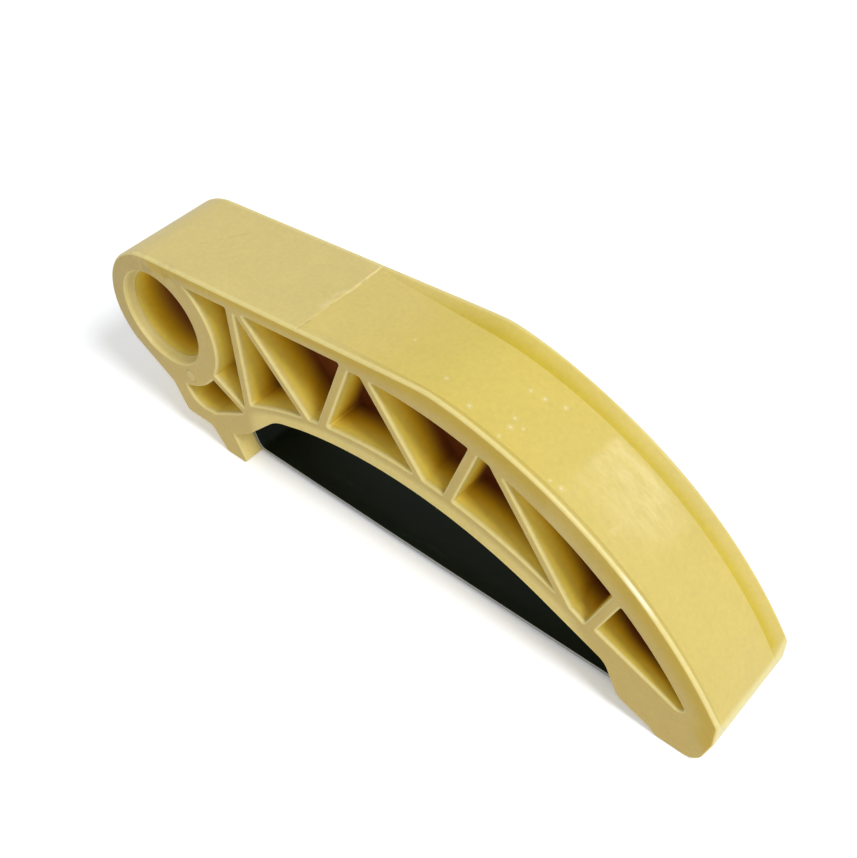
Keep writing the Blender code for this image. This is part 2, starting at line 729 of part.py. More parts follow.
def leaf_spring(parts):
    """The steel leaf: a strip of spring steel with one end bent up."""
    path = leaf_path()
    half = LEAF_THICKNESS / 2.0
    upper, lower = [], []
    for i, point in enumerate(path):
        before = (point - path[max(i - 1, 0)])
        after = (path[min(i + 1, len(path) - 1)] - point)
        heading = (before.normalized() + after.normalized()).normalized()
        normal = Vector((-heading.y, heading.x))
        upper.append(point + normal * half)
        lower.append(point - normal * half)
    leaf = plate("leaf_spring", upper + lower[::-1], LEAF_WIDTH, parts)
    leaf.data.materials.append(material("blued_spring_steel", (0.03, 0.032, 0.034), 0.38, 0.7))
    return leaf


def shade(item, angle):
    """Smooth shading with sharp edges kept beyond an angle."""
    item.data.shade_smooth()
    item.data.set_sharp_from_angle(angle=math.radians(angle))


def main():
    """Builds the guide and moves the middle of its footprint to the origin."""
    for item in list(bpy.data.objects):
        bpy.data.objects.remove(item)
    parts = new_collection("timing_chain_guide")
    cutters = new_collection("cutters")
    body = guide_body(parts, cutters)
    leaf = leaf_spring(parts)
    for item in (body, leaf):
        shade(item, 30.0)
    outline = body_outline()
    middle = (min(p.x for p in outline) + max(p.x for p in outline)) / 2.0
    for item in list(parts.objects) + list(cutters.objects):
        item.location.x -= middle
    for item in cutters.objects:
        item.hide_render = True
        item.display_type = "WIRE"


main()
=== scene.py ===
"""Timing chain guide in its natural nylon and blued spring steel, on a pale floor.

Plane of the side faces: X along the guide, Z up. Y is the width; the near side is -Y.
Profiles are drawn from the pivot axis and moved to the frame's origin at the end.
"""
import logging
import math
from collections.abc import Callable
from dataclasses import dataclass
from enum import Enum
from functools import cached_property, partial, reduce

import bmesh
import bpy
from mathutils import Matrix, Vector


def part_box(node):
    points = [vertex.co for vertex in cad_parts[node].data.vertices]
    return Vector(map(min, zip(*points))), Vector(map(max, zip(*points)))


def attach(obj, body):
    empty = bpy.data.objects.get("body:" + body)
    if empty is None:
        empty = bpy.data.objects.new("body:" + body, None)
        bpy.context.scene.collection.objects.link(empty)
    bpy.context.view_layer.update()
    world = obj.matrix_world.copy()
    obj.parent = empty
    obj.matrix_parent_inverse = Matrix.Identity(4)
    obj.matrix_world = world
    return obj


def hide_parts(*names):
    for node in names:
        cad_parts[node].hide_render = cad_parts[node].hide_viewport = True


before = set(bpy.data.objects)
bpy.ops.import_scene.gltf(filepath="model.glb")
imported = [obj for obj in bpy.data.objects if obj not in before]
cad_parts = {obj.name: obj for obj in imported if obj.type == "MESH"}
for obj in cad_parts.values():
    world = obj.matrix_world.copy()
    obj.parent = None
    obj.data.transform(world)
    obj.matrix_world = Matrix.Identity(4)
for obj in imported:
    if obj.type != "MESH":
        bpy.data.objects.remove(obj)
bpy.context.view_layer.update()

LOG = logging.getLogger("chain_guide")
MM = 0.001
Pair = tuple[float, float]
Triple = tuple[float, float, float]
Verts = list[bmesh.types.BMVert]
Edges = list[bmesh.types.BMEdge]
Height = Callable[[float], float]


class Slot(Enum):
    """The record's material slots."""

    NYLON = "natural_nylon"
    STEEL = "blued_spring_steel"


# Plane geometry

NEARLY_STRAIGHT = math.radians(89.7)
FILLET_STEPS = 8
POCKET_FILLET_STEPS = 6


def mm(x: float, z: float) -> Vector:
    """A point of the side view given in millimetres."""
    return Vector((x, z)) * MM


def centre_below(crest: Pair, radius: float) -> Vector:
    """Centre of the circle whose highest point is given in millimetres."""
    return mm(crest[0], crest[1] - radius / MM)


def polar(centre: Vector, radius: float, angle: float) -> Vector:
    """A point at a radius and angle about a centre."""
    return centre + Vector((math.cos(angle), math.sin(angle))) * radius


def smooth(t: float) -> float:
    """Smooth step from 0 to 1 as t goes from 0 to 1."""
    t = min(1.0, max(0.0, t))
    return t * t * (3.0 - 2.0 * t)


def crossing(p: Vector, d: Vector, q: Vector, e: Vector) -> Vector:
    """The point where the line through p along d meets the line through q along e.

    Args:
        p: A point of the first line.
        d: Its direction.
        q: A point of the second line.
        e: Its direction.

    Returns:
        The point.
    """
    cross = d.x * e.y - d.y * e.x
    gap = q - p
    return p + d * ((gap.x * e.y - gap.y * e.x) / cross)


def circle_height(centre: Vector, radius: float, x: float) -> float:
    """Height of the upper half of a circle at x."""
    return centre.y + math.sqrt(radius ** 2 - (x - centre.x) ** 2)


@dataclass
class Corner:
    """A corner of an outline, replaced by a fillet of its radius where that isn't zero."""

    point: Vector
    radius: float = 0.0


def fillet(before: Vector, corner: Corner, after: Vector, steps: int) -> list[Vector]:
    """Points of the fillet at one corner.

    Args:
        before: The outline's point before the corner.
        corner: The corner itself.
        after: The outline's point after it.
        steps: How many segments the fillet has, whatever its angle.

    Returns:
        steps + 1 points, or the corner's own point where its radius is zero.
    """
    if corner.radius <= 0.0:
        return [corner.point.copy()]
    back, ahead = before - corner.point, after - corner.point
    half = back.angle(ahead) / 2.0
    if half > NEARLY_STRAIGHT:
        reach = min(0.1 * MM, 0.3 * back.length, 0.3 * ahead.length)
        first = corner.point + back.normalized() * reach
        last = corner.point + ahead.normalized() * reach
        return [first.lerp(last, i / steps) for i in range(steps + 1)]
    reach = min(corner.radius / math.tan(half), 0.48 * back.length, 0.48 * ahead.length)
    used = reach * math.tan(half)
    bisector = (back.normalized() + ahead.normalized()).normalized()
    centre = corner.point + bisector * (used / math.sin(half))
    first = corner.point + back.normalized() * reach - centre
    last = corner.point + ahead.normalized() * reach - centre
    start = math.atan2(first.y, first.x)
    sweep = math.atan2(last.y, last.x) - start
    sweep = (sweep + math.pi) % (2.0 * math.pi) - math.pi
    return [polar(centre, used, start + sweep * i / steps) for i in range(steps + 1)]


def outline_of(corners: list[Corner], steps: int = FILLET_STEPS) -> list[Vector]:
    """Closed outline of the corners, each replaced by its fillet.

    Args:
        corners: The outline's corners in order.
        steps: How many segments each fillet has.

    Returns:
        The outline's points.
    """
    points: list[Vector] = []
    total = len(corners)
    for i, corner in enumerate(corners):
        points += fillet(corners[i - 1].point, corner, corners[(i + 1) % total].point, steps)
    return points


def offset(points: list[Vector], distances: list[float]) -> list[Vector]:
    """Closed counter-clockwise outline with each point moved outwards by its distance.

    Args:
        points: The outline.
        distances: One distance for each point.

    Returns:
        The moved points.
    """
    moved = []
    total = len(points)
    for i, point in enumerate(points):
        before = (point - points[i - 1]).normalized()
        after = (points[(i + 1) % total] - point).normalized()
        normal = Vector((before.y + after.y, -before.x - after.x)).normalized()
        spread = max(0.12, normal.dot(Vector((after.y, -after.x))))
        moved.append(point + normal * (distances[i] / spread))
    return moved


def grown(corners: list[Corner], distance: float) -> list[Corner]:
    """The same counter-clockwise corners with every side moved outwards by a distance.

    Args:
        corners: The corners.
        distance: How far the sides move.

    Returns:
        The moved corners, their fillets grown with them.
    """
    points = offset([c.point for c in corners], [distance] * len(corners))
    return [
        Corner(point, max(c.radius + 0.4 * distance, 0.12 * MM) if c.radius > 0.0 else 0.0)
        for point, c in zip(points, corners)
    ]


# Mesh helpers

SHARP = 35.0


def first_ring(bm: bmesh.types.BMesh, points: list[Vector], y: float) -> Verts:
    """A closed ring of vertices and edges in the side plane at a width y.

    Args:
        bm: The mesh being built.
        points: The ring's outline.
        y: Its place across the width.

    Returns:
        Its vertices in order.
    """
    verts = [bm.verts.new((p.x, y, p.y)) for p in points]
    for a, b in zip(verts, verts[1:] + verts[:1]):
        bm.edges.new((a, b))
    return verts


def ring_edges(verts: Verts) -> Edges:
    """The edges that join a ring's neighbouring vertices.

    Args:
        verts: The ring's vertices in order.

    Returns:
        One edge for each vertex.
    """
    edges = []
    for a, b in zip(verts, verts[1:] + verts[:1]):
        edges.append(next(e for e in a.link_edges if e.other_vert(a) is b))
    return edges


def next_ring(bm: bmesh.types.BMesh, verts: Verts, points: list[Vector], y: float) -> Verts:
    """A ring extruded from the last one and shaped to a new outline.

    Args:
        bm: The mesh being built.
        verts: The ring to extrude, in order.
        points: The new ring's outline, with as many points.
        y: The new ring's place across the width.

    Returns:
        The new ring's vertices in the same order.
    """
    made = bmesh.ops.extrude_edge_only(bm, edges=ring_edges(verts))["geom"]
    fresh = {item for item in made if isinstance(item, bmesh.types.BMVert)}
    result = []
    for vert, point in zip(verts, points):
        twin = next(e.other_vert(vert) for e in vert.link_edges if e.other_vert(vert) in fresh)
        twin.co = (point.x, y, point.y)
        result.append(twin)
    return result


def finished(bm: bmesh.types.BMesh, name: str, sharp: float) -> bpy.types.Object:
    """An object of the mesh, its faces turned outwards and smooth up to an angle.

    Args:
        bm: The mesh, which is freed.
        name: The object's name.
        sharp: The angle in degrees past which an edge is sharp.

    Returns:
        The object.
    """
    bmesh.ops.remove_doubles(bm, verts=bm.verts, dist=0.0005 * MM)
    bmesh.ops.recalc_face_normals(bm, faces=bm.faces)
    mesh = bpy.data.meshes.new(name)
    bm.to_mesh(mesh)
    bm.free()
    mesh.shade_smooth()
    mesh.set_sharp_from_angle(angle=math.radians(sharp))
    piece = bpy.data.objects.new(name, mesh)
    bpy.context.scene.collection.objects.link(piece)
    return piece


# Node materials

Socket = bpy.types.NodeSocket
Number = float | Socket
Colour = Triple
Paint = Colour | Socket
Limits = Pair
WHITE = (1.0, 1.0, 1.0, 1.0)


def span(low: float, high: float) -> Limits:
    """Two limits given in millimetres."""
    return low * MM, high * MM


class Nodes:
    """Short calls that add nodes to a material or a world and link them."""

    def __init__(self, owner: bpy.types.Material | bpy.types.World) -> None:
        """Turns on the nodes of a material or a world.

        Args:
            owner: The material or world.
        """
        self.owner = owner
        owner.use_nodes = True
        self.tree = owner.node_tree

    @cached_property
    def place(self) -> Socket:
        """The place on the object."""
        return self.add("TexCoord").outputs["Object"]

    @cached_property
    def axes(self) -> tuple[Socket, ...]:
        """The three parts of the place on the object.

        Returns:
            The outputs for X, Y and Z.
        """
        node = self.add("SeparateXYZ")
        self.put(node.inputs[0], self.place)
        return tuple(node.outputs)

    def add(self, kind: str) -> bpy.types.Node:
        """A new shader node of a kind."""
        return self.tree.nodes.new("ShaderNode" + kind)

    def put(self, socket: Socket, value: Number | Paint | None) -> None:
        """Links a socket to an output, or sets its own value.

        Args:
            socket: The input.
            value: What goes there, or None to leave it.
        """
        if isinstance(value, bpy.types.NodeSocket):
            self.tree.links.new(value, socket)
        elif value is not None:
            socket.default_value = value

    def fill(self, node: bpy.types.Node, *values: Number | Paint | None) -> Socket:
        """Puts values on a node's inputs, in their order.

        Args:
            node: The node.
            values: One value for each of its first inputs.

        Returns:
            The node's first output.
        """
        for socket, value in zip(node.inputs, values):
            self.put(socket, value)
        return node.outputs[0]

    def math(self, operation: str, *values: Number) -> Socket:
        """The result of a Math node.

        Args:
            operation: What the node does.
            values: Its inputs.

        Returns:
            Its output.
        """
        node = self.add("Math")
        node.operation = operation
        return self.fill(node, *values)

    def times(self, *values: Number) -> Socket:
        """The product of the values."""
        return reduce(partial(self.math, "MULTIPLY"), values)

    def most(self, *values: Number) -> Socket:
        """The greatest of the values."""
        return reduce(partial(self.math, "MAXIMUM"), values)

    def ramp(self, value: Number, scale: float, base: Number) -> Socket:
        """A value times a scale, plus a base."""
        return self.math("MULTIPLY_ADD", value, scale, base)

    def ease(self, value: Number, low: float, high: float,
             to_low: float = 0.0, to_high: float = 1.0) -> Socket:
        """A smooth step of a value between two limits.

        Args:
            value: The value.
            low: Where the step begins; it may lie past high for a falling step.
            high: Where it ends.
            to_low: The result at low.
            to_high: The result at high.

        Returns:
            The step.
        """
        node = self.add("MapRange")
        node.interpolation_type = "SMOOTHSTEP"
        return self.fill(node, value, low, high, to_low, to_high)

    def near(self, value: Number, middle: float, limits: Limits) -> Socket:
        """A smooth step of the value's distance from a middle, between two limits."""
        return self.ease(self.math("ABSOLUTE", self.math("SUBTRACT", value, middle)), *limits)

    def window(self, *steps: tuple[Number, Limits]) -> Socket:
        """The product of smooth steps, each of a value between its limits."""
        return self.times(*(self.ease(value, *limits) for value, limits in steps))

    def stretched(self, scale: Triple) -> Socket:
        """The place on the object, scaled along each axis.

        Args:
            scale: The three scales.

        Returns:
            The scaled place.
        """
        node = self.add("Mapping")
        node.vector_type = "POINT"
        self.put(node.inputs["Vector"], self.place)
        self.put(node.inputs["Scale"], scale)
        return node.outputs[0]

    def noise(self, scale: float, detail: float, rough: float,
              where: Socket | None = None) -> Socket:
        """Noise with features about 1 / scale metres across.

        Args:
            scale: The noise's scale.
            detail: How many finer layers it has.
            rough: How strong they are.
            where: The place to read it at, by default the place on the object.

        Returns:
            The noise.
        """
        node = self.add("TexNoise")
        self.put(node.inputs["Vector"], where or self.place)
        self.put(node.inputs["Scale"], scale)
        self.put(node.inputs["Detail"], detail)
        self.put(node.inputs["Roughness"], rough)
        return node.outputs[0]

    def patches(self, scale: float, detail: float, rough: float, limits: Limits) -> Socket:
        """Noise turned into patches by a smooth step."""
        return self.ease(self.noise(scale, detail, rough), *limits)

    def wander(self, scale: float, detail: float, rough: float, reach: float) -> Socket:
        """Noise about zero, from minus to plus half of the reach."""
        return self.times(self.math("SUBTRACT", self.noise(scale, detail, rough), 0.5), reach)

    def blend(self, share: Number, a: Paint, b: Paint) -> Socket:
        """A colour mixed from two.

        Args:
            share: How much of the second it has.
            a: The first colour.
            b: The second.

        Returns:
            The mixed colour.
        """
        node = self.add("Mix")
        node.data_type = "RGBA"
        self.put(node.inputs["Factor"], share)
        for name, colour in (("A", a), ("B", b)):
            socket = next(s for s in node.inputs if s.name == name and s.type == "RGBA")
            self.put(socket, (*colour, 1.0) if isinstance(colour, tuple) else colour)
        return next(s for s in node.outputs if s.type == "RGBA")

    def brighten(self, colour: Paint, amount: Number) -> Socket:
        """A colour multiplied by an amount.

        Args:
            colour: The colour.
            amount: The amount.

        Returns:
            The product.
        """
        node = self.add("VectorMath")
        node.operation = "SCALE"
        self.put(node.inputs[0], colour)
        self.put(node.inputs["Scale"], amount)
        return node.outputs[0]

    def tint(self, colour: Paint, mask: Number, change: float) -> Socket:
        """A colour brightened by a share of itself where the mask is 1."""
        return self.brighten(colour, self.ramp(mask, change, 1.0))

    def distance(self, centre: Triple, place: Socket | None = None) -> Socket:
        """Distance of a place from a point.

        Args:
            centre: The point.
            place: The place, by default the place on the object.

        Returns:
            The distance.
        """
        node = self.add("VectorMath")
        node.operation = "DISTANCE"
        self.fill(node, place or self.place, centre)
        return node.outputs["Value"]

    def attribute(self, name: str) -> Socket:
        """A number stored on the mesh's points.

        Args:
            name: The attribute's name.

        Returns:
            The number.
        """
        node = self.add("Attribute")
        node.attribute_name = name
        return node.outputs["Fac"]

    def seen(self) -> Socket:
        """1 for a ray from the camera, from a gloss or through glass, else 0."""
        path = self.add("LightPath").outputs
        return self.most(*(path[f"Is {name} Ray"] for name in ("Camera", "Glossy", "Transmission")))

    def bump(self, height: Number, strength: float, distance: float,
             under: Socket | None = None) -> Socket:
        """A bump normal from a height.

        Args:
            height: The height, from 0 to 1.
            strength: How strong the bump is.
            distance: The height of 1 in metres.
            under: The normal that it is added to.

        Returns:
            The normal.
        """
        node = self.add("Bump")
        self.put(node.inputs["Strength"], strength)
        self.put(node.inputs["Distance"], distance)
        self.put(node.inputs["Height"], height)
        self.put(node.inputs["Normal"], under)
        return node.outputs[0]

    def set(self, **values: Number | Paint) -> None:
        """Puts values or links on the shader's sockets.

        Args:
            values: The sockets by name, with _ for a space.
        """
        shader = self.tree.nodes["Principled BSDF"]
        for name, value in values.items():
            self.put(shader.inputs[name.replace("_", " ")], value)


@dataclass(frozen=True)
class NaturalNylon:
    """Aged natural nylon: honey yellow, satin, a little see-through at its edges; its colour also
    holds painted light and shade.
    """

    plain: Colour = (0.680, 0.548, 0.194)
    run: Colour = (0.668, 0.532, 0.123)
    bright_end: Colour = (0.635, 0.508, 0.144)
    # Painted light: the nose's end face, turned to the key lamp, is made paler.
    lit_nose_end: Colour = (0.74, 0.66, 0.32)
    # Painted shade: the side faces get a darker copy of the plastic.
    side: Colour = (0.585, 0.43, 0.108)
    # Painted shade: darker still on the side faces below the run.
    painted_under_run_shade: Colour = (0.565, 0.385, 0.026)
    # Painted light along the arch's edge of the side faces.
    painted_arch_light: Colour = (0.80, 0.64, 0.20)
    # Painted shade on the far lip's inner slope.
    slope: Colour = (0.578, 0.438, 0.019)
    # Painted highlight on the rounded edges and pocket mouths, also tinted onto the pin marks.
    rim: Colour = (0.78, 0.67, 0.28)
    # Painted light near the mouths, then painted shade deeper in, darkest at the web.
    painted_wall_light: Colour = (0.86, 0.67, 0.10)
    middle: Colour = (0.76, 0.46, 0.004)
    depth: Colour = (0.19, 0.045, 0.0002)
    # Painted highlight along the near lip's crest.
    crest_highlight: Colour = (0.93, 0.85, 0.60)
    fleck: Colour = (0.92, 0.84, 0.58)
    scuffed: Colour = (0.90, 0.79, 0.42)
    burr: Colour = (0.88, 0.76, 0.42)
    seam: float = -13.36 * MM
    seam_height: float = 34.577 * MM
    tilt: float = math.radians(6.0)
    pockets_from: Limits = span(-34.5, -33.5)
    fleck_size: float = 0.13 * MM
    fleck_spread: float = 0.09 * MM
    flecks: tuple[Pair, ...] = (
        (-0.1, -0.6), (7.6, -3.7), (17.6, -4.0), (17.2, -2.6), (18.8, -3.0), (16.0, 2.1),
        (17.9, 2.4), (20.3, 3.4), (17.5, -6.0), (25.0, -5.9), (26.4, -5.6), (12.4, -5.2),
    )
    pins: tuple[Triple, ...] = ((-0.0381, -0.0085, 0.0294), (-0.0376, -0.0085, 0.0123))

    def ground(self, n: Nodes) -> Socket:
        """The colour of each region, before wear and grain, with painted light and shade in it.

        Args:
            n: The material's nodes.

        Returns:
            The colour.
        """
        x, y, z = n.axes
        colour = self.plain
        for limits, share, paint in (
            ((self.seam - 0.1 * MM, self.seam + 0.3 * MM), 0.45, self.run),
            (span(-10.0, 6.0), 1.0, self.run),
            (span(12.0, 40.0), 1.0, self.bright_end),
            # painted light on the nose's end face
            (span(52.0, 52.6), 1.0, self.lit_nose_end),
        ):
            colour = n.blend(n.ease(x, *limits, 0.0, share), colour, paint)
        # Painted shade on the far lip's inner slope.
        far = n.ease(y, *span(-1.0, 1.0), 0.0, 0.85)
        slope_shade = n.times(n.ease(n.attribute("slope"), 0.25, 1.0), far)
        colour = n.blend(slope_shade, colour, self.slope)
        # Painted light: the foot's face under the arch is brightened.
        foot = n.window((z, span(7.5, 5.5)), (x, span(-24.0, -26.0)))
        colour = n.tint(colour, foot, 0.26)
        # The side faces take a darker colour of painted shade.
        across = n.math("ABSOLUTE", y)
        colour = n.blend(n.ease(across, *span(8.1, 8.5)), colour, self.shaded_side_skin(n))
        # Painted highlight on the rounded edges and pocket mouths.
        rim = n.window((across, span(8.50, 8.42)), (across, span(7.70, 8.2)))
        colour = n.blend(n.times(rim, 0.85), colour, self.rim)
        # Painted light at the mouths and painted shade deeper in the pockets and the bore.
        deep = self.painted_shade_depth(n)
        for limits, paint in (
            ((0.04, 0.18), self.painted_wall_light), ((0.14, 0.55), self.middle), ((0.38, 0.88), self.depth),
        ):
            colour = n.blend(n.ease(deep, *limits), colour, paint)
        return colour

    def shaded_side_skin(self, n: Nodes) -> Socket:
        """The colour of the side faces, a darker copy of the plastic as painted shade: darker still
        below the run as painted shade, paler along the arch as painted light, and darker towards
        the boss's left end.

        Args:
            n: The material's nodes.

        Returns:
            The colour.
        """
        crest = n.attribute("crest")
        side = n.blend(n.ease(crest, 0.05, 0.80), self.side, self.painted_under_run_shade)
        side = n.blend(n.ease(crest, 0.0, -0.55, 0.0, 0.80), side, self.painted_arch_light)
        return n.brighten(side, n.ease(n.axes[0], *span(-52.0, -38.0), 0.88, 1.0))

    def painted_shade_depth(self, n: Nodes) -> Socket:
        """How deep a point lies in a pocket or the bore, which sets the painted shade there.

        Args:
            n: The material's nodes.

        Returns:
            0 on the outer skin, and more at the web in narrow pockets than in wide ones.
        """
        x, y, _ = n.axes
        deep = n.times(n.attribute("depth"), n.ease(x, *span(34.0, 40.0), 1.0, 1.6))
        left = n.window((x, self.pockets_from), (x, span(-4.0, -12.0)))
        behind = n.window((y, span(1.0, 2.0)), (x, self.pockets_from))
        return n.times(deep, n.ramp(left, -0.09, 1.0), n.ramp(behind, -0.42, 1.0))

    def on_top(self, n: Nodes) -> Socket:
        """1 on the upper skin of the arm, 0 in its pockets and on its underside."""
        return n.window((n.attribute("depth"), (0.008, 0.001)), (n.axes[2], span(16.5, 18.5)))

    def specks(self, n: Nodes) -> Socket:
        """Pale flecks of plastic worn by rubbing on the running face, each with a faint halo.

        Args:
            n: The material's nodes.

        Returns:
            Their mask.
        """
        x, y, _ = n.axes
        flat = n.fill(n.add("CombineXYZ"), x, y)
        found = []
        for i, (along, across) in enumerate(self.flecks):
            away = n.distance((along * MM, across * MM, 0.0), flat)
            size = self.fleck_size + self.fleck_spread * math.sin(2.4 * i) ** 2
            found.append(n.ease(away, size, 0.35 * size))
            found.append(n.ease(away, 3.2 * size, 0.8 * size, 0.0, 0.28))
        where = n.window((x, span(4.0, 14.0)), (x, span(32.0, 24.0)))
        fine = n.times(n.patches(1100.0, 2.0, 0.5, (0.72, 0.76)), where, 0.35)
        return n.times(n.most(*found, fine), self.on_top(n))

    def scuff(self, n: Nodes) -> Socket:
        """Pale patch where the chain's rubbing has worn the running face, with short streaks.

        Args:
            n: The material's nodes.

        Returns:
            Its mask.
        """
        x, y, _ = n.axes
        along = n.math("ADD", x, n.wander(260.0, 3.0, 0.6, 2.2 * MM))
        streak = n.noise(1.0, 5.0, 0.7, n.stretched((230.0, 800.0, 230.0)))
        patch = n.times(
            n.window((along, span(25.8, 27.2)), (along, span(40.0, 34.0)), (y, span(6.2, 5.0))),
            n.ease(y, *span(-5.5, 2.0), 0.25, 1.0),
            n.ease(streak, 0.38, 0.66, 0.35, 1.0),
        )
        line = n.times(
            n.near(along, 33.1 * MM, span(0.80, 0.10)), n.near(y, -0.2 * MM, span(5.3, 4.2)), 0.5,
        )
        return n.times(n.most(patch, line), self.on_top(n))

    def polish_and_highlight(self, n: Nodes) -> Socket:
        """The stretch on the crest of the near lip that is made smoother, with a painted highlight
        in its colour.

        Args:
            n: The material's nodes.

        Returns:
            Its mask.
        """
        x, y, _ = n.axes
        along = n.window((x, span(36.2, 38.8)), (x, span(43.0, 40.5)))
        crest = n.window((y, span(-7.82, -8.04)), (y, span(-8.45, -8.30)))
        return n.times(along, crest, self.on_top(n))

    def scratch(self, n: Nodes) -> Socket:
        """A faint dark scratch across the flat top over the bore.

        Args:
            n: The material's nodes.

        Returns:
            Its mask.
        """
        x, y, _ = n.axes
        off = n.math("SUBTRACT", n.times(x, 0.81), n.times(y, 0.59))
        line = n.times(
            n.near(off, -30.4 * MM, span(0.30, 0.05)), n.patches(500.0, 3.0, 0.6, (0.35, 0.6)),
        )
        window = n.window((y, span(-3.0, -1.5)), (y, span(5.0, 3.5)))
        return n.times(line, window, self.on_top(n))

    def grime(self, n: Nodes) -> Socket:
        """Brown smudges along the near edge over the boss.

        Args:
            n: The material's nodes.

        Returns:
            Their mask.
        """
        x, y, z = n.axes
        window = n.window(
            (x, span(-32.0, -40.0)), (y, span(-7.2, -8.2)), (z, span(26.0, 30.0)),
        )
        return n.times(n.patches(420.0, 3.0, 0.6, (0.44, 0.62)), window)

    def seam_line(self, n: Nodes) -> tuple[Socket, Socket]:
        """The step across the top where the running face begins.

        Args:
            n: The material's nodes.

        Returns:
            The masks of its dark line and of its pale burr.
        """
        x, y, z = n.axes
        turn_x, turn_z = math.cos(self.tilt), math.sin(self.tilt)
        along = n.math("ADD", n.times(x, turn_x), n.times(z, turn_z))
        middle = self.seam * turn_x + self.seam_height * turn_z
        gap = n.math("ADD", n.math("SUBTRACT", along, middle), n.wander(330.0, 2.0, 0.5, 0.9 * MM))
        across = n.math("ABSOLUTE", y)
        inner = n.window((z, span(33.0, 33.8)), (across, span(8.3, 7.9)))
        line = n.near(gap, 0.0, span(0.20, 0.05))
        low = n.times(n.ease(y, *span(-0.8, -2.0)), n.patches(420.0, 2.0, 0.5, (0.38, 0.55)))
        dark = n.times(line, n.most(n.near(y, 4.3 * MM, span(0.6, 0.3)), low), inner)
        smear = n.times(
            n.near(gap, -0.65 * MM, span(0.75, 0.25)), n.near(y, -0.8 * MM, span(3.0, 1.6)),
            n.patches(380.0, 3.0, 0.6, (0.40, 0.60)), 0.8,
        )
        bright = n.times(line, n.ease(y, *span(0.4, 1.4)))
        return dark, n.times(n.most(bright, smear), inner)

    def pin_marks(self, n: Nodes) -> Socket:
        """Height of the two round marks beside the bore on the near face.

        Args:
            n: The material's nodes.

        Returns:
            The height, from 0 to 1.
        """
        _, y, z = n.axes
        height = n.most(*(n.ease(n.distance(pin), *span(1.15, 0.85)) for pin in self.pins))
        fade = n.ease(z, *span(18.0, 24.0), 1.0, 0.45)
        return n.times(height, fade, n.ease(y, *span(-8.3, -8.45)))

    def material(self) -> bpy.types.Material:
        """Builds the node material.

        Returns:
            The material.
        """
        n = Nodes(bpy.data.materials.new("natural_nylon_aged"))
        blotch, grain = n.noise(320.0, 4.0, 0.6), n.noise(1500.0, 3.0, 0.6)
        shade = 0.79
        for noise, amount in ((n.noise(75.0, 4.0, 0.55), 0.14), (blotch, 0.10), (grain, 0.18)):
            shade = n.ramp(noise, amount, shade)
        colour = n.brighten(self.ground(n), shade)
        dark, pale = self.seam_line(n)
        polish_and_highlight, pin = self.polish_and_highlight(n), self.pin_marks(n)
        for mask, share, paint in (
            (pale, 0.45, self.burr), (dark, -0.20, None), (self.specks(n), 0.65, self.fleck),
            (self.scuff(n), 0.42, self.scuffed), (self.scratch(n), -0.10, None),
            # Painted highlights: the near lip's crest stretch and the pin marks are paled.
            (self.grime(n), -0.16, None), (polish_and_highlight, 0.85, self.crest_highlight), (pin, 0.30, self.rim),
        ):
            if paint is None:
                colour = n.tint(colour, mask, share)
            else:
                colour = n.blend(n.times(mask, share), colour, paint)
        rough = n.ramp(polish_and_highlight, -0.25, n.ramp(n.noise(300.0, 4.0, 0.6), 0.16, 0.36))
        rough = n.math("ADD", rough, n.ease(n.attribute("depth"), 0.05, 0.40, 0.0, 0.46))
        n.set(Base_Color=colour, Roughness=rough, IOR=1.53, Specular_IOR_Level=0.35)
        n.set(Subsurface_Weight=0.15, Subsurface_Scale=0.0012, Subsurface_Radius=(1.0, 0.62, 0.18))
        wavy = n.bump(blotch, 0.20, 0.00008, n.bump(grain, 0.22, 0.00004))
        raised = n.math("ADD", n.times(pin, 2.0), n.times(pale, 0.15))
        raised = n.math("SUBTRACT", raised, n.times(dark, 0.2))
        n.set(Normal=n.bump(raised, 0.9, 0.00012, wavy))
        return n.owner


@dataclass(frozen=True)
class BluedSpringSteel:
    """Blued spring steel, near black, with bare sheared edges."""

    face: Colour = (0.0036, 0.0072, 0.0042)
    worn_face: float = 2.6
    cut: Colour = (0.34, 0.34, 0.33)
    half_width: float = 5.5 * MM

    def material(self) -> bpy.types.Material:
        """Builds the node material.

        Returns:
            The material.
        """
        n = Nodes(bpy.data.materials.new("blued_spring_steel_strip"))
        across = n.math("ABSOLUTE", n.axes[1])
        edge = n.ease(across, self.half_width - 0.09 * MM, self.half_width - 0.03 * MM)
        worn = n.noise(700.0, 5.0, 0.7, n.stretched((0.15, 1.0, 1.0)))
        pale = tuple(part * self.worn_face for part in self.face)
        colour = n.blend(n.ease(worn, 0.55, 0.8), self.face, pale)
        n.set(Base_Color=n.blend(edge, colour, self.cut), Metallic=n.ramp(edge, 0.5, 0.2))
        n.set(Roughness=n.ramp(worn, 0.2, 0.42), Specular_IOR_Level=0.14)
        n.set(Normal=n.bump(worn, 0.1, 0.00003))
        return n.owner


@dataclass(frozen=True)
class PaleFloor:
    """Plain white floor that keeps a soft shadow."""

    reflect: Colour = (0.86, 0.86, 0.86)
    seen: Colour = (0.955, 0.97, 1.0)
    lift: float = 0.23
    far_lift: float = 0.62

    def material(self) -> bpy.types.Material:
        """Builds the node material.

        Returns:
            The material.
        """
        n = Nodes(bpy.data.materials.new("pale_floor"))
        seen = n.seen()
        away = n.distance((0.0, 0.0, 0.0))
        lift = n.times(seen, n.ease(away, 0.16, 0.6, self.lift, self.far_lift))
        n.set(Base_Color=n.blend(seen, self.reflect, self.seen))
        n.set(Roughness=1.0, Specular_IOR_Level=0.0, Emission_Color=WHITE, Emission_Strength=lift)
        return n.owner


# The guide


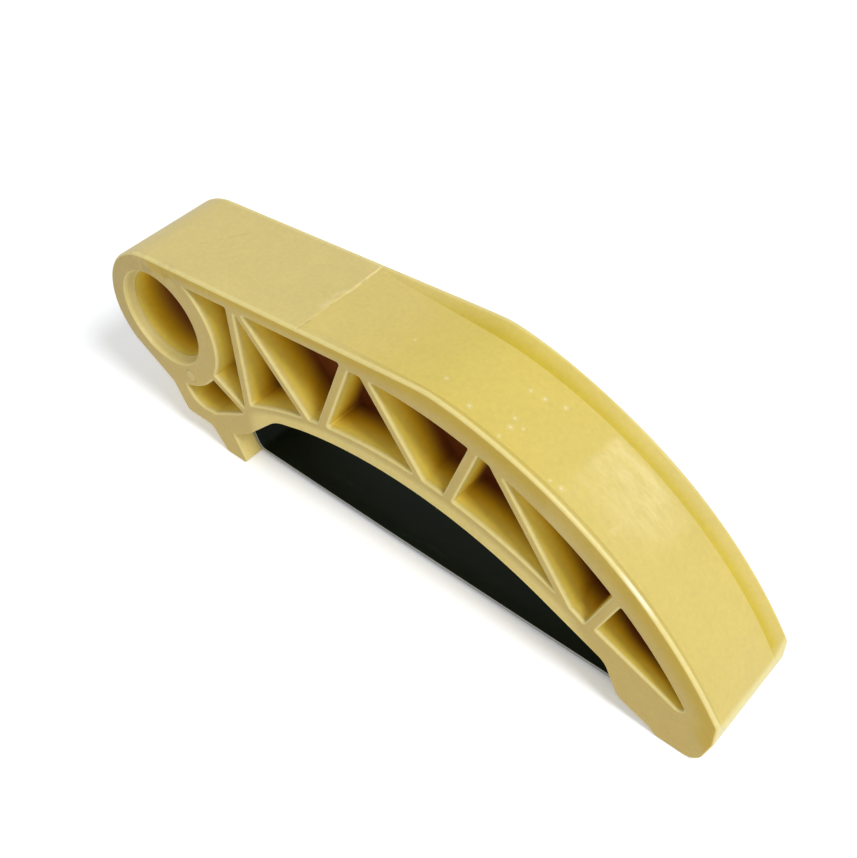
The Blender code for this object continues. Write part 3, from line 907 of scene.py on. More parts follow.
@dataclass
class Rib:
    """A straight rib between the top chord and the pockets' floor."""

    top: Vector
    foot: Vector
    thickness: float

    def side(self, sign: float) -> Vector:
        """A point of the rib's left (-1) or right (+1) side."""
        return self.foot + Vector((self.along.y, -self.along.x)) * (sign * self.thickness / 2.0)

    @property
    def along(self) -> Vector:
        """Direction of the rib from foot to top."""
        return (self.top - self.foot).normalized()


@dataclass
class GuideArm:
    """The moulded arm: boss and bore, ribbed pockets, foot, arch, heel, nose and lips.

    Lengths are in metres. Points of the side view, and the radii beside the foot's corners,
    are in millimetres.
    """

    half_width: float = 8.5 * MM
    pivot_height: float = 20.7 * MM
    boss_radius: float = 10.7 * MM
    ring_radius: float = 11.5 * MM
    bore_radius: float = 7.2 * MM
    lead_in_radius: float = 7.75 * MM
    lead_in_depth: float = 1.5 * MM
    bore_rounding: float = 0.3 * MM
    tilt: float = math.radians(6.0)
    seam: float = 30.0 * MM
    seam_step: float = 0.1 * MM
    curve_start: float = 39.5 * MM
    run_radius: float = 58.3 * MM
    lip_height: float = 1.4 * MM
    lip_arc_rise: float = 1.2 * MM
    lip_width: float = 0.6 * MM
    lip_slope: float = 1.3
    near_slope_width: float = 1.4 * MM
    shoulder_blend: float = 0.15 * MM
    nose_height: float = 9.106 * MM
    face_height: float = 5.6 * MM
    face_lean: float = math.radians(2.0)
    nose_lean: float = math.radians(16.0)
    arch_crest: Pair = (44.0, 17.8)
    arch_radius: float = 61.0 * MM
    floor_crest: Pair = (45.5, 20.95)
    floor_radius: float = 60.0 * MM
    near_edge: float = 0.5 * MM
    far_edge: float = 0.25 * MM
    far_lip_edge: float = 1.1 * MM
    plain_edge: float = 0.2 * MM
    edge_turn: float = math.radians(64.0)
    web: float = 3.6 * MM
    flat_chord: float = 2.25 * MM
    curved_chord: float = 2.7 * MM
    upright: float = 1.5 * MM
    slanted: float = 1.3 * MM
    pocket_corner: float = 0.35 * MM
    mouth: float = 0.42 * MM
    draft: float = 0.15 * MM
    floor_fillet: float = 0.5 * MM
    channel_half: float = 6.0 * MM
    channel_ceiling: float = 1.7 * MM
    channel_setback: float = 7.07 * MM
    low_edge: float = 6.1 * MM
    first_rib: float = 16.0 * MM
    last_rib_setback: float = 15.67 * MM
    strut_start: Pair = (10.4, 14.7)
    strut_end: Pair = (-1.3, -1.58)
    foot: tuple[Triple, ...] = (
        (0.0, 8.4, 1.4), (2.3, 3.8, 1.4), (7.5, 3.8, 1.4), (10.3, 0.0, 0.45),
        (14.5, 0.0, 0.45), (12.4, 5.0, 0.4), (15.9, 7.2, 3.0),
    )

    def __post_init__(self) -> None:
        """Works out the centres and corners that the outlines hang on."""
        self.pivot = Vector((0.0, self.pivot_height))
        self.boss_centre = self.pivot + mm(0.2, 0.1)
        self.along = Vector((math.cos(self.tilt), math.sin(self.tilt)))
        self.upward = Vector((-math.sin(self.tilt), math.cos(self.tilt)))
        self.top_line = self.boss_centre + self.upward * self.boss_radius
        self.lip_radius = self.run_radius + self.lip_height
        self.top_radius = self.lip_radius - self.lip_arc_rise
        self.run_centre = self.top_line - self.upward * self.top_radius
        self.run_centre = self.run_centre + self.along * self.curve_start
        self.arch_centre = centre_below(self.arch_crest, self.arch_radius)
        self.floor_centre = centre_below(self.floor_crest, self.floor_radius)
        self.nose_angle = math.asin((self.nose_height - self.run_centre.y) / self.lip_radius)
        self.nose = polar(self.run_centre, self.lip_radius, self.nose_angle)
        face = self.nose.x - (self.nose.y - self.face_height) * math.tan(self.face_lean)
        self.face = Vector((face, self.face_height))
        self.toe = Vector((face - self.face_height * math.tan(self.nose_lean), 0.0))
        self.upper = self.upper_places()
        self.radii: list[float] = []

    def behind_nose(self, setback: float, z: float) -> Vector:
        """A point a distance behind the nose at a height, both in millimetres."""
        return Vector((self.nose.x - setback * MM, z * MM))

    # Curves of the side view

    def arch(self, x: float) -> float:
        """Height of the arch on the underside."""
        return circle_height(self.arch_centre, self.arch_radius, x)

    def pocket_floor(self, x: float) -> float:
        """Height of the lower chord's upper side."""
        return circle_height(self.floor_centre, self.floor_radius, x)

    def under_flat(self, x: float) -> float:
        """Height of the top chord's underside below the flat top."""
        start = self.boss_centre + self.upward * (self.boss_radius - self.flat_chord)
        return start.y + (x - start.x) * math.tan(self.tilt)

    def under_run(self, x: float) -> float:
        """Height of the top chord's underside below the running face.

        Args:
            x: The place along the guide.

        Returns:
            The height.
        """
        radius = self.run_radius - self.curved_chord
        tangent = self.run_centre + self.upward * radius
        if x < tangent.x:
            return tangent.y + (x - tangent.x) * math.tan(self.tilt)
        return circle_height(self.run_centre, radius, x)

    def lip_reach(self, angle: float) -> float:
        """Distance of the lips' top from the run's centre, at an angle past the curve's start.

        Args:
            angle: The angle.

        Returns:
            The distance.
        """
        flat = self.top_radius / math.cos(angle)
        blend = self.shoulder_blend * min(1.0, angle / math.radians(9.0))
        return (flat + self.lip_radius) / 2.0 - math.hypot((flat - self.lip_radius) / 2.0, blend)

    def run_depth(self, distance: float) -> float:
        """How far the running face lies below the lips at a distance along the top.

        Args:
            distance: The distance from the pivot.

        Returns:
            The depth.
        """
        full = math.acos(self.top_radius / self.lip_radius)
        end = self.curve_start + self.top_radius * math.tan(full)
        share = min(1.0, max(0.0, (distance - self.seam) / (end - self.seam)))
        step = self.seam_step * smooth((distance - self.seam) / (0.3 * MM) + 0.5)
        return step + (self.lip_height - self.seam_step) * share ** 0.8

    def end_corner(self, reach: float) -> Vector:
        """Where a circle about the run's centre meets the nose's end face.

        Args:
            reach: The circle's radius.

        Returns:
            The point.
        """
        heading = (self.nose - self.face).normalized()
        gap = self.face - self.run_centre
        along = gap.dot(heading)
        hit = math.sqrt(along ** 2 - gap.length_squared + reach ** 2) - along
        return self.face + heading * hit

    def upper_places(self) -> list[tuple[Vector, Vector, float]]:
        """The lips' top from the nose back to the boss.

        Returns:
            For each place a point on the lips' top, the direction outwards there and the
            depth of the running face below it.
        """
        start = math.pi / 2.0 + self.tilt
        end = start - self.nose_angle
        places = []
        steps = 110
        for i in range(1, steps + 1):
            angle = end * (1.0 - i / steps)
            outward = Vector((math.cos(start - angle), math.sin(start - angle)))
            depth = self.run_depth(self.curve_start + self.top_radius * math.tan(angle))
            places.append((self.run_centre + outward * self.lip_reach(angle), outward, depth))
        near_seam = 0.4 * MM
        straight = self.curve_start - self.seam - near_seam
        marks = [self.curve_start - straight * i / 8.0 for i in range(1, 9)]
        marks += [self.seam + near_seam - 2.0 * near_seam * i / 16.0 for i in range(1, 17)]
        last = marks[-1]
        marks += [last * (1.0 - i / 30.0) for i in range(1, 30)]
        for mark in marks:
            groove = 0.04 * MM * math.exp(-((mark - self.seam) / (0.14 * MM)) ** 2)
            top = self.top_line + self.along * mark - self.upward * groove
            places.append((top, self.upward, self.run_depth(mark)))
        return places

    def lower_corners(self, channel: bool) -> list[Corner]:
        """Corners from the top of the boss round the underside to the nose's end face.

        Args:
            channel: Whether the leaf's channel under the heel is cut here.

        Returns:
            The corners, always as many, with the channel's place left out as short steps.
        """
        top = math.pi / 2.0 + self.tilt
        neck = math.radians(226.0)
        corners = [
            Corner(polar(self.boss_centre, self.boss_radius, top + (neck - top) * i / 48.0))
            for i in range(49)
        ]
        corners += [Corner(mm(x, z), radius * MM) for x, z, radius in self.foot]
        blend, right = 22.3 * MM, self.nose.x - 26.27 * MM
        left = blend + 5.0 * MM
        corners.append(Corner(Vector((blend, self.arch(blend))), 7.0 * MM))
        for i in range(61):
            x = left + (right - left) * i / 60.0
            corners.append(Corner(Vector((x, self.arch(x)))))
        end = corners[-1].point
        slope = (end.x - self.arch_centre.x) / (end.y - self.arch_centre.y)
        step_x = self.nose.x - 16.17 * MM
        corners.append(Corner(Vector((step_x, end.y - (step_x - right) * slope)), 3.0 * MM))
        heel, edge = self.behind_nose(13.77, 2.9), self.behind_nose(8.77, 1.0)
        mouth = heel.lerp(edge, (heel.y - self.channel_ceiling) / (heel.y - edge.y))
        back = self.nose.x - self.channel_setback
        corners.append(Corner(heel, 3.0 * MM))
        corners.append(Corner(mouth, 0.2 * MM))
        if channel:
            corners.append(Corner(Vector((edge.x, self.channel_ceiling)), 0.2 * MM))
            corners.append(Corner(Vector((back, self.channel_ceiling)), 0.2 * MM))
            corners.append(Corner(Vector((back, 0.0)), 0.2 * MM))
        else:
            corners.append(Corner(edge, 0.45 * MM))
            corners.append(Corner(self.behind_nose(7.67, 0.0), 0.45 * MM))
            corners.append(Corner(Vector((back + 0.4 * MM, 0.0)), 0.2 * MM))
        corners.append(Corner(self.toe, 2.8 * MM))
        corners.append(Corner(self.face, 3.0 * MM))
        return corners

    def edge_radius(self, point: Vector, far: bool) -> float:
        """Rounding of the side face's edge at a point of the outline.

        Args:
            point: The point.
            far: Whether it is on the far half.

        Returns:
            The radius.
        """
        top = self.near_edge
        if far:
            worn = smooth((point.x - 48.0 * MM) / (22.0 * MM))
            top = self.far_edge + (self.far_lip_edge - self.far_edge) * worn
        if point.x < self.boss_centre.x:
            share = (point.y - self.boss_centre.y) / self.boss_radius + 0.5
        elif point.x > self.nose.x - 2.8 * MM:
            share = (point.y - 2.8 * MM) / (self.nose.y - 3.2 * MM)
        else:
            share = 1.0 if point.y > self.under_run(point.x) else 0.0
        return self.plain_edge + (top - self.plain_edge) * smooth(share)

    def outline_side(self, point: Vector) -> float:
        """1 for a point of the outline's upper side, -1 for one of the arch, 0 elsewhere.

        Args:
            point: The point.

        Returns:
            The number.
        """
        if point.y > self.under_run(point.x) and point.x > 0.0:
            return 1.0
        on_arch = 18.0 * MM < point.x < self.nose.x - 20.0 * MM
        return -1.0 if on_arch and point.y < self.pocket_floor(point.x) else 0.0

    def rounding(self, radius: float, inward: float) -> float:
        """How far a rounded edge lies inside its outline at a distance from the side face."""
        gap = max(0.0, radius - inward)
        return radius - math.sqrt(radius ** 2 - gap ** 2)

    def slope_width(self, depth: float, far: bool) -> float:
        """Width of a lip's inner slope: it grows with the depth on the far side only.

        Args:
            depth: The trough's depth.
            far: Whether it is the far lip.

        Returns:
            The width.
        """
        start = 0.25 * MM * self.lip_slope
        if far:
            return max(start, self.lip_slope * depth)
        return start + (self.near_slope_width - start) * smooth(depth / (0.3 * MM))

    def sink_below_lip(self, y: float, depth: float, rounded: float, far: bool) -> float:
        """How far the trough's slope lies below the rounded top of the lip at y.

        Args:
            y: The place across the width.
            depth: The trough's depth.
            rounded: How far the lip's rounding lies below it at y.
            far: Whether it is the far lip.

        Returns:
            How much further down the slope lies.
        """
        if depth <= 0.0:
            return 0.0
        run = self.half_width - self.lip_width - y
        slope = min(run * depth / self.slope_width(depth, far), depth)
        blend = 0.05 * MM * smooth(depth / (0.3 * MM))
        return (rounded + slope) / 2.0 + math.hypot((rounded - slope) / 2.0, blend) - rounded

    def ring(self, bm: bmesh.types.BMesh, verts: Verts, far: bool, share: float, low_y: float,
             channel: bool, level: float = 0.0) -> Verts:
        """One ring of the skin past the edge's rounding.

        Args:
            bm: The mesh being built.
            verts: The ring before it.
            far: Whether this is the far half.
            share: How far the lip's slope has come, from 0 at the edge to 1 at its base;
                past 1 the ring is on the running face.
            low_y: Place across the width of the points on the underside.
            channel: Whether the leaf's channel is cut here.
            level: Past the lip's base, how far the ring has come to the middle.

        Returns:
            The ring's vertices.
        """
        def place(depth: float, radius: float) -> tuple[float, float]:
            """Width and drop of a point on the upper side.

            Args:
                depth: The trough's depth there.
                radius: The rounding of the side's edge there.

            Returns:
                The width and the drop.
            """
            start = self.half_width - radius * (1.0 - math.cos(self.edge_turn))
            base = self.half_width - self.lip_width - self.slope_width(depth, far)
            if share >= 1.0:
                return base * (1.0 - level), depth
            y = start + (base - start) * share
            return y, self.sink_below_lip(y, depth, self.rounding(radius, self.half_width - y), far)

        corners = self.lower_corners(channel)
        arc = FILLET_STEPS + 1
        widths = [None] * sum(arc if corner.radius > 0.0 else 1 for corner in corners)
        slopes = [0.0] * (len(widths) + arc)
        y, drop = place(self.lip_height, self.radii[len(widths) + FILLET_STEPS])
        corners.append(Corner(self.end_corner(self.lip_radius - drop), 1.0 * MM))
        widths += [y] * arc
        for (point, outward, depth), radius in zip(self.upper, self.radii[-len(self.upper):]):
            y, drop = place(depth, radius)
            corners.append(Corner(point - outward * drop))
            widths.append(y)
            slopes.append(depth / self.lip_height * (min(1.0, share) if level == 0.0 else 0.0))
        points = outline_of(corners)
        for i, radius in enumerate(self.radii):
            if widths[i] is None:
                first = self.half_width - radius * (1.0 - math.cos(self.edge_turn))
                widths[i] = low_y if share >= 1.0 else first + (self.low_edge - first) * share
        insets = [-self.rounding(r, self.half_width - y) for r, y in zip(self.radii, widths)]
        result = next_ring(bm, verts, offset(points, insets), 0.0)
        layer = bm.verts.layers.float["slope"]
        for vert, y, slope in zip(result, widths, slopes):
            vert.co.y = -y
            vert[layer] = slope
        return result

    # Pockets

    def meet(self, p: Vector, d: Vector, height: Height, guess: float) -> float:
        """x where the line through p along d crosses a height curve near the guess.

        Args:
            p: A point of the line.
            d: Its direction.
            height: The height curve.
            guess: An x near the crossing.

        Returns:
            The x.
        """
        x = guess
        reach = 0.01 * MM
        for _ in range(30):
            rise = (height(x + reach) - height(x - reach)) / (2.0 * reach)
            x = crossing(p, d, Vector((x, height(x))), Vector((1.0, rise))).x
        return x

    def between(self, left: Rib, right: Rib, top: Height, floor: Height) -> list[Corner]:
        """Corners of the pocket between two ribs, clockwise from its upper left.

        Args:
            left: The rib on the left.
            right: The rib on the right.
            top: Height curve of the upper chord.
            floor: Height curve of the lower chord.

        Returns:
            The corners, three or more.
        """
        p, d, q, e = left.side(1.0), left.along, right.side(-1.0), right.along
        apex = crossing(p, d, q, e)
        corners = []
        for curve, first, last in ((top, (p, d, left.top.x), (q, e, right.top.x)),
                                   (floor, (q, e, right.foot.x), (p, d, left.foot.x))):
            a = self.meet(first[0], first[1], curve, first[2])
            b = self.meet(last[0], last[1], curve, last[2])
            if (b - a) * (1.0 if curve is top else -1.0) <= 0.0:
                corners.append(Corner(apex, self.pocket_corner))
                continue
            count = max(2, round(abs(b - a) / (1.2 * MM)))
            for i in range(count + 1):
                x = a + (b - a) * i / count
                radius = self.pocket_corner if i in (0, count) else 0.0
                corners.append(Corner(Vector((x, curve(x))), radius))
        return corners

    def ring_angle(self, p: Vector, d: Vector, nearest: Vector) -> float:
        """Angle about the pivot where the line through p along d cuts the ring round the bore.

        Args:
            p: A point of the line.
            d: Its direction.
            nearest: A point near the wanted one of the two cuts.

        Returns:
            The angle.
        """
        d = d.normalized()
        middle = p + d * (self.pivot - p).dot(d)
        half = math.sqrt(self.ring_radius ** 2 - (middle - self.pivot).length_squared)
        hit = min((middle + d * half, middle - d * half), key=lambda s: (s - nearest).length)
        return math.atan2(hit.y - self.pivot.y, hit.x - self.pivot.x)

    def ring_corners(self, start: float, end: float, rounded: tuple[int, ...]) -> list[Corner]:
        """Corners along the ring round the bore, with a fillet at the named ends.

        Args:
            start: The first angle.
            end: The last angle.
            rounded: Which ends get a fillet: 0 for the first, -1 for the last.

        Returns:
            The corners.
        """
        count = max(2, round(abs(end - start) / math.radians(2.5)))
        corners = []
        for i in range(count + 1):
            point = polar(self.pivot, self.ring_radius, start + (end - start) * i / count)
            ended = i in rounded or i - count - 1 in rounded
            corners.append(Corner(point, self.pocket_corner if ended else 0.0))
        return corners

    def pockets(self) -> list[list[Corner]]:
        """Corners of every pocket on one side of the web.

        Returns:
            One list of counter-clockwise corners for each pocket.
        """
        start = self.first_rib
        length = self.nose.x - self.last_rib_setback - start

        def rib(top_share: float, foot_share: float, thickness: float, top: Height,
                step: float = 0.0) -> Rib:
            """A rib from the shares of the truss at which its ends stand.

            Args:
                top_share: The share at its top.
                foot_share: The share at its foot.
                thickness: Its thickness.
                top: The height of the chord above it.
                step: How far its top is moved along the guide.

            Returns:
                The rib.
            """
            top_x, foot_x = start + length * top_share + step, start + length * foot_share
            foot = Vector((foot_x, self.pocket_floor(foot_x)))
            return Rib(Vector((top_x, top(top_x))), foot, thickness)

        flat, run, floor = self.under_flat, self.under_run, self.pocket_floor
        a, b = rib(0.0, 0.011, self.upright, flat), rib(0.0, 0.202, self.slanted, flat, 1.52 * MM)
        d, e = rib(0.334, 0.252, self.upright, flat), rib(0.386, 0.520, self.slanted, run)
        f, g = rib(0.659, 0.596, self.upright, run), rib(0.713, 0.885, self.slanted, run)
        h = rib(1.0, 0.948, self.upright, run)
        found = [self.between(a, b, flat, floor), self.between(b, d, flat, floor)]
        found += [self.between(d, e, run, floor), self.between(e, f, run, floor)]
        found += [self.between(f, g, run, floor), self.between(g, h, run, floor)]
        found += [self.nose_pocket(h), self.boss_pocket(a), self.foot_pocket(a)]
        result = []
        for corners in found:
            pairs = zip(corners, corners[1:] + corners[:1])
            area = sum(p.point.x * q.point.y - q.point.x * p.point.y for p, q in pairs)
            result.append(corners if area > 0.0 else corners[::-1])
        return result

    def strut(self, rib: Rib) -> Vector:
        """Direction of the short strut from the boss to the first rib's foot."""
        return (rib.foot + mm(*self.strut_end) - mm(*self.strut_start)).normalized()

    def boss_pocket(self, rib: Rib) -> list[Corner]:
        """Pocket between the boss, the flat top, the first rib and the short strut.

        Args:
            rib: The first rib.

        Returns:
            The corners.
        """
        strut = self.strut(rib)
        start = mm(*self.strut_start) + Vector((-strut.y, strut.x)) * (self.slanted / 2.0)
        low = crossing(start, strut, rib.side(-1.0), rib.along)
        top_x = self.meet(rib.side(-1.0), rib.along, self.under_flat, rib.top.x)
        top = Vector((top_x, self.under_flat(top_x)))
        roof = self.boss_centre + self.upward * (self.boss_radius - self.flat_chord)
        first = self.ring_angle(roof, self.along, top)
        last = self.ring_angle(start, strut, mm(*self.strut_start))
        corners = [Corner(low, self.pocket_corner), Corner(top, self.pocket_corner)]
        return corners + self.ring_corners(first, last, (-1,))

    def foot_pocket(self, rib: Rib) -> list[Corner]:
        """Pocket between the boss, the short strut and the shoulder of the foot.

        Args:
            rib: The first rib.

        Returns:
            The corners.
        """
        strut = self.strut(rib)
        start = mm(*self.strut_start) + Vector((strut.y, -strut.x)) * (self.slanted / 2.0)
        first = self.ring_angle(start, strut, mm(*self.strut_start)) % (2.0 * math.pi)
        shoulder = [mm(3.3, 8.9), mm(4.4, 7.2), mm(6.3, 6.7), mm(8.7, 6.95)]
        last = rib.foot + mm(-1.4, -2.58)
        end = crossing(start, strut, shoulder[-1], last - shoulder[-1])
        corners = [Corner(end, self.pocket_corner)]
        corners += self.ring_corners(first, math.radians(285.0), (0, -1))
        return corners + [Corner(point, 1.4 * MM) for point in shoulder]

    def nose_pocket(self, rib: Rib) -> list[Corner]:
        """Long narrow pocket behind the last rib, with a round end.

        Args:
            rib: The last rib.

        Returns:
            The corners.
        """
        start, end = self.behind_nose(17.77, 12.9), self.behind_nose(5.47, 7.8)
        end_radius, steps = 0.9 * MM, 14
        low = crossing(rib.side(1.0), rib.along, start, end - start)
        top_x = self.meet(rib.side(1.0), rib.along, self.under_run, rib.top.x)
        corners = [Corner(low, self.pocket_corner), Corner(end, end_radius)]
        last = self.nose.x - 4.47 * MM
        for i in range(steps + 1):
            x = last + (top_x - last) * i / steps
            radius = end_radius if i == 0 else self.pocket_corner if i == steps else 0.0
            corners.append(Corner(Vector((x, self.under_run(x))), radius))
        return corners

    # Mesh

    def shell(self, bm: bmesh.types.BMesh, far: bool) -> Verts:
        """Half of the arm's outer skin, from the side face's flat to the middle.

        Args:
            bm: The mesh being built.
            far: Whether this is the far half, whose lip is worn rounder.

        Returns:
            The ring that bounds the side face's flat.
        """
        corners = self.lower_corners(False) + [Corner(self.nose, 1.0 * MM)]
        rim = outline_of(corners + [Corner(point) for point, _, _ in self.upper])
        self.radii = [self.edge_radius(point, far) for point in rim]
        flat = first_ring(bm, offset(rim, [-r - 0.1 * MM for r in self.radii]), -self.half_width)
        crest = bm.verts.layers.float["crest"]
        for vert, point in zip(flat, rim):
            vert[crest] = self.outline_side(point)
        ring = flat
        for i in range(9):
            angle = self.edge_turn * i / 8.0
            insets = [-r * (1.0 - math.sin(angle)) for r in self.radii]
            ring = next_ring(bm, ring, offset(rim, insets), 0.0)
            for vert, radius in zip(ring, self.radii):
                vert.co.y = radius * (1.0 - math.cos(angle)) - self.half_width
        for share in (0.04, 0.09, 0.15, 0.22, 0.3, 0.42, 0.6, 0.8):
            ring = self.ring(bm, ring, far, share, 0.0, False)
        edge = self.channel_half
        for level, y, opened in (
            (0.0, self.low_edge, False), (0.02, edge + 0.005 * MM, False), (0.025, edge, True),
            (0.5, edge / 2.0, True), (1.0, 0.0, True),
        ):
            ring = self.ring(bm, ring, far, 1.0, y, opened, level)
        return flat

    def sink(self, bm: bmesh.types.BMesh, corners: list[Corner],
             layer: bmesh.types.BMLayerItem) -> Verts:
        """One pocket from its rounded mouth down to the filleted web.

        Args:
            bm: The mesh being built.
            corners: The pocket's corners.
            layer: Vertex layer that stores how deep a point lies, from 0 to 1.

        Returns:
            The ring that bounds the side face's flat.
        """
        face, bottom = self.half_width, self.web / 2.0
        lean, steps = 0.06 * MM, POCKET_FILLET_STEPS
        widest = grown(corners, self.mouth - lean + 0.1 * MM)
        flat = ring = first_ring(bm, outline_of(widest, steps), -face)
        levels = []
        for i in range(7):
            angle = math.pi / 2.0 * i / 6.0
            growth = self.mouth * (1.0 - math.sin(angle)) - lean
            levels.append((growth, self.mouth * (1.0 - math.cos(angle))))
        deep = face - bottom - self.floor_fillet
        levels.append((-lean - 0.3 * self.draft, 0.35 * deep))
        levels.append((-lean - 0.6 * self.draft, 0.65 * deep))
        for i in range(5):
            angle = math.pi / 2.0 * i / 4.0
            inset = lean + self.draft + self.floor_fillet * (1.0 - math.cos(angle))
            levels.append((-inset, deep + self.floor_fillet * math.sin(angle)))
        for growth, depth in levels:
            ring = next_ring(bm, ring, outline_of(grown(corners, growth), steps), depth - face)
            for vert in ring:
                vert[layer] = depth / (face - bottom)
        bmesh.ops.triangle_fill(bm, edges=ring_edges(ring), use_beauty=True)
        return flat

    def turn_bore(self, bm: bmesh.types.BMesh, layer: bmesh.types.BMLayerItem,
                  far: bool) -> Edges:
        """Half of the pivot bore, spun from its profile.

        Args:
            bm: The mesh being built.
            layer: Vertex layer that stores how deep a point lies, from 0 to 1.
            far: Whether this is the far half, which little light reaches.

        Returns:
            The edges that bound the side face's flat.
        """
        face, round_off, deepest = self.half_width, self.bore_rounding, 0.95
        profile = [(self.lead_in_radius + round_off + 0.1 * MM, 0.0)]
        for i in range(8):
            angle = math.radians(80.0) * i / 7.0
            profile.append((
                self.lead_in_radius + round_off * (1.0 - math.sin(angle)),
                round_off * (1.0 - math.cos(angle)),
            ))
        step = self.lead_in_depth
        for wider, further in ((0.2, -0.05), (0.15, 0.0), (0.03, 0.01), (0.0, 0.06)):
            profile.append((self.bore_radius + wider * MM, step + further * MM))
        profile += [(self.bore_radius, d * MM) for d in (1.8, 2.2, 2.8, 3.6, 4.6, 6.0)]
        profile.append((self.bore_radius, face))
        verts = []
        for radius, depth in profile:
            vert = bm.verts.new((self.pivot.x + radius, depth - face, self.pivot.y))
            # The depth layer also sets the painted shade in the bore; on the far half it fills in
            # from a shallow depth.
            if far:
                vert[layer] = deepest * smooth(depth / (0.3 * face))
            elif depth > step:
                vert[layer] = deepest * ((depth - step) / (face - step)) ** 0.62
            verts.append(vert)
        edges = [bm.edges.new(pair) for pair in zip(verts, verts[1:])]
        known = set(bm.verts) - set(verts)
        rim = verts[0].co.copy()
        bmesh.ops.spin(
            bm, geom=verts + edges, cent=(self.pivot.x, 0.0, self.pivot.y), axis=(0.0, 1.0, 0.0),
            angle=2.0 * math.pi, steps=144, use_merge=True,
        )
        reach, close = rim.x - self.pivot.x, 0.002 * MM
        centre = Vector((self.pivot.x, -face, self.pivot.y))
        near = {
            v for v in bm.verts
            if v not in known and abs((v.co - centre).length - reach) < close
            and v.co.y < -face + 1e-6
        }
        return [e for e in bm.edges if e.verts[0] in near and e.verts[1] in near]

    def build(self, shift: float) -> bpy.types.Object:
        """Builds the arm and puts its footprint's middle at the origin.

        Args:
            shift: How far the pivot lies from the middle of the footprint along X.

        Returns:
            The finished object.
        """
        bm = bmesh.new()
        for name in ("slope", "crest", "depth"):
            bm.verts.layers.float.new(name)
        layer = bm.verts.layers.float["depth"]
        for far in (False, True):
            known = set(bm.verts)
            edges = ring_edges(self.shell(bm, far))
            for corners in self.pockets():
                edges += ring_edges(self.sink(bm, corners, layer))
            edges += self.turn_bore(bm, layer, far)
            bmesh.ops.triangle_fill(bm, edges=edges, use_beauty=True, normal=(0.0, -1.0, 0.0))
            if far:
                half = [vert for vert in bm.verts if vert not in known]
                bmesh.ops.scale(bm, vec=(1.0, -1.0, 1.0), verts=half)
        bmesh.ops.translate(bm, verts=bm.verts, vec=(shift, 0.0, 0.0))
        return finished(bm, "guide_arm", SHARP)

    def dress(self, piece: bpy.types.Object, finish: NaturalNylon) -> None:
        """Gives the arm its finish and its place in the frame.

        Args:
            piece: The arm.
            finish: Its finish.
        """
        piece.data.materials.append(finish.material())
        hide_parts("guide_body")
        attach(piece, "root")
        LOG.info("guide arm: %d faces", len(piece.data.polygons))


@dataclass
class SpringLeaf:
    """The steel leaf: a strip with one end bent up behind the foot."""

    thickness: float = 0.6 * MM
    width: float = 11.0 * MM
    bend: float = 1.3 * MM
    sag: float = 0.25 * MM
    hook_height: float = 4.4 * MM
    play: float = 0.3 * MM
    edge: float = 0.07 * MM

    def path(self, arm: GuideArm) -> list[Vector]:
        """Middle line of the strip, from the hook to the free end in the heel's channel.

        Args:
            arm: The arm whose foot and channel hold the strip.

        Returns:
            The line's points.
        """
        half = self.thickness / 2.0
        low, high = (mm(x, z) for x, z, _ in arm.foot[4:6])
        foot = (low - high).normalized()
        start = high + Vector((-foot.y, foot.x)) * (self.play + half)
        level = arm.channel_ceiling - self.play - half
        end = Vector((arm.nose.x - arm.channel_setback - self.play, level))
        hook = crossing(start, foot, Vector((0.0, self.hook_height)), Vector((1.0, 0.0)))
        bend = crossing(start, foot, Vector((0.0, level)), Vector((1.0, 0.0)))
        run = []
        for i in range(1, 41):
            t = i / 40.0
            sag = 4.0 * self.sag * t * (1.0 - t)
            run.append(Vector((bend.x + (end.x - bend.x) * t, level - sag)))
        return [hook] + fillet(hook, Corner(bend, self.bend), run[0], 14) + run

    def build(self, arm: GuideArm, shift: float) -> bpy.types.Object:
        """Builds the strip: its path is extruded across, thickened and its edges broken.

        Args:
            arm: The arm whose foot and channel hold the strip.
            shift: How far the pivot lies from the middle of the footprint along X.

        Returns:
            The finished object.
        """
        bm = bmesh.new()
        path = self.path(arm)
        verts = [bm.verts.new((p.x + shift, -self.width / 2.0, p.y)) for p in path]
        edges = [bm.edges.new(pair) for pair in zip(verts, verts[1:])]
        strips = 4
        for _ in range(strips):
            made = bmesh.ops.extrude_edge_only(bm, edges=edges)["geom"]
            moved = [item for item in made if isinstance(item, bmesh.types.BMVert)]
            bmesh.ops.translate(bm, verts=moved, vec=(0.0, self.width / strips, 0.0))
            edges = [item for item in made if isinstance(item, bmesh.types.BMEdge)]
        bmesh.ops.recalc_face_normals(bm, faces=bm.faces)
        bmesh.ops.solidify(bm, geom=bm.faces[:], thickness=self.thickness)
        bmesh.ops.recalc_face_normals(bm, faces=bm.faces)
        lowest = min(v.co.z for v in bm.verts)
        want = min(p.y for p in path) - self.thickness / 2.0
        bmesh.ops.translate(bm, verts=bm.verts, vec=(0.0, 0.0, want - lowest))
        folds = [e for e in bm.edges if len(e.link_faces) == 2]
        rims = [e for e in folds if e.calc_face_angle() > math.radians(60.0)]
        bmesh.ops.bevel(
            bm, geom=rims, offset=self.edge, offset_type="OFFSET", segments=2, profile=0.5,
            affect="EDGES", material=-1, clamp_overlap=True,
        )
        return finished(bm, "spring_leaf_strip", SHARP)

    def dress(self, piece: bpy.types.Object, finish: BluedSpringSteel) -> None:
        """Gives the strip its finish and its place in the frame.

        Args:
            piece: The strip.
            finish: Its finish.
        """
        piece.data.materials.append(finish.material())
        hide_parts("leaf_spring")
        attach(piece, "root")
        LOG.info("spring leaf: %d faces", len(piece.data.polygons))


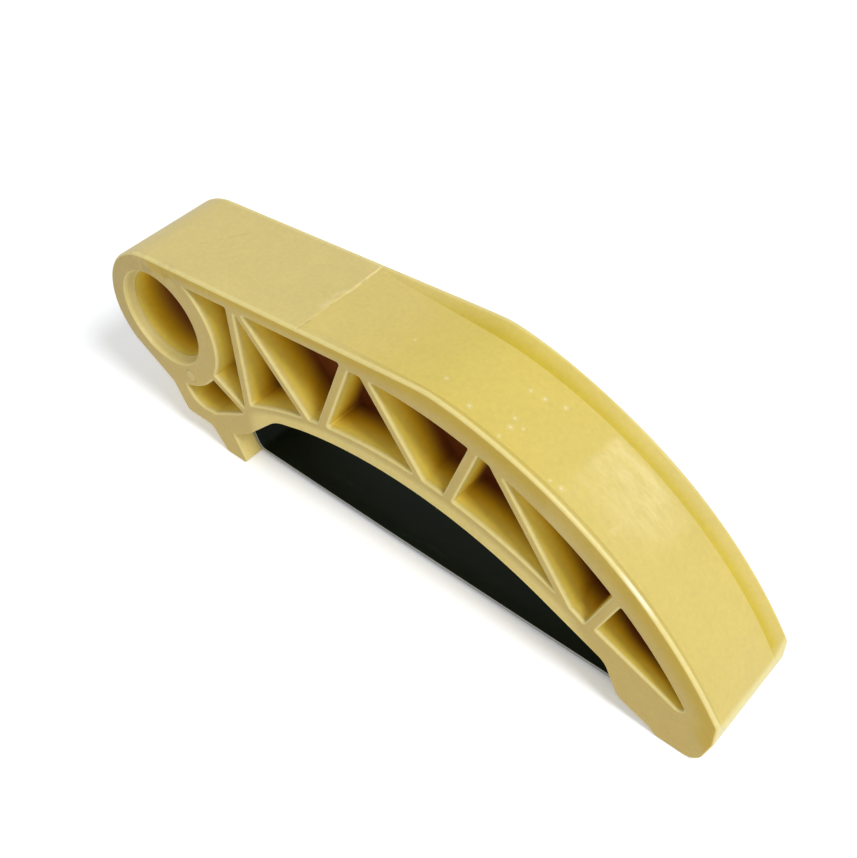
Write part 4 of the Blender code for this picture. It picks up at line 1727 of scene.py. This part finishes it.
@dataclass
class Studio:
    """Pale floor, soft lights and the camera."""

    floor_size: float = 2.0
    floor_gap: float = 0.03 * MM
    ambient: float = 0.49
    key_power: float = 5.5
    key_size: float = 0.28
    key_place: Triple = (0.55, -0.10, 0.82)
    fill_power: float = 0.8
    fill_size: float = 0.22
    fill_place: Triple = (0.74, -0.46, 0.49)
    lens: float = 53.652
    shift: Pair = (-0.016147, 0.012143)
    camera_place: Triple = (0.08015, -0.08931, 0.14066)
    camera_turn: Triple = (44.0583, 0.5467, 40.0259)

    def floor(self, finish: PaleFloor) -> None:
        """Lays the floor just under the guide.

        Args:
            finish: The floor's finish.
        """
        bm = bmesh.new()
        bmesh.ops.create_grid(bm, x_segments=1, y_segments=1, size=self.floor_size)
        bmesh.ops.translate(bm, verts=bm.verts, vec=(0.0, 0.0, -self.floor_gap))
        piece = finished(bm, "studio_floor", SHARP)
        piece.data.materials.append(finish.material())

    def lights(self) -> None:
        """Sets an even surround, a lamp over the nose and a weaker one low in front of it."""
        world = bpy.data.worlds.new("soft_surround")
        bpy.context.scene.world = world
        n = Nodes(world)
        background = n.tree.nodes["Background"].inputs
        n.put(background["Color"], WHITE)
        n.put(background["Strength"], n.ramp(n.seen(), 1.0 - self.ambient, self.ambient))
        self.softbox("key_softbox", self.key_power, self.key_size, self.key_place)
        self.softbox("fill_softbox", self.fill_power, self.fill_size, self.fill_place)

    def softbox(self, name: str, power: float, size: float, place: Triple) -> None:
        """A round lamp at a place, turned towards the guide.

        Args:
            name: The lamp's name.
            power: Its power in watts.
            size: Its diameter.
            place: Where it stands.
        """
        lamp = bpy.data.lights.new(name, "AREA")
        lamp.shape = "DISK"
        lamp.size = size
        lamp.energy = power
        item = bpy.data.objects.new(name, lamp)
        item.location = place
        item.rotation_euler = Vector(place).to_track_quat("Z", "Y").to_euler()
        bpy.context.scene.collection.objects.link(item)

    def camera(self) -> None:
        """Places the camera at the photograph's viewing angle."""
        data = bpy.data.cameras.new("camera")
        data.lens = self.lens
        data.sensor_width = 36.0
        data.shift_x, data.shift_y = self.shift
        data.clip_start = 0.005
        item = bpy.data.objects.new("camera", data)
        item.location = self.camera_place
        item.rotation_euler = [math.radians(a) for a in self.camera_turn]
        bpy.context.scene.collection.objects.link(item)
        bpy.context.scene.camera = item

    def build(self) -> None:
        """Builds the studio."""
        self.floor(PaleFloor())
        self.lights()
        self.camera()
        bpy.context.scene.view_settings.view_transform = "Standard"


def main() -> None:
    """Builds and dresses every piece, then the studio."""
    logging.basicConfig(level=logging.INFO, format="%(name)s: %(message)s")
    low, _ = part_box("guide_body")
    arm = GuideArm()
    shift = low[0] - (arm.boss_centre.x - arm.boss_radius)
    arm.dress(arm.build(shift), NaturalNylon())
    leaf = SpringLeaf()
    leaf.dress(leaf.build(arm, shift), BluedSpringSteel())
    Studio().build()


if __name__ == "__main__":
    main()
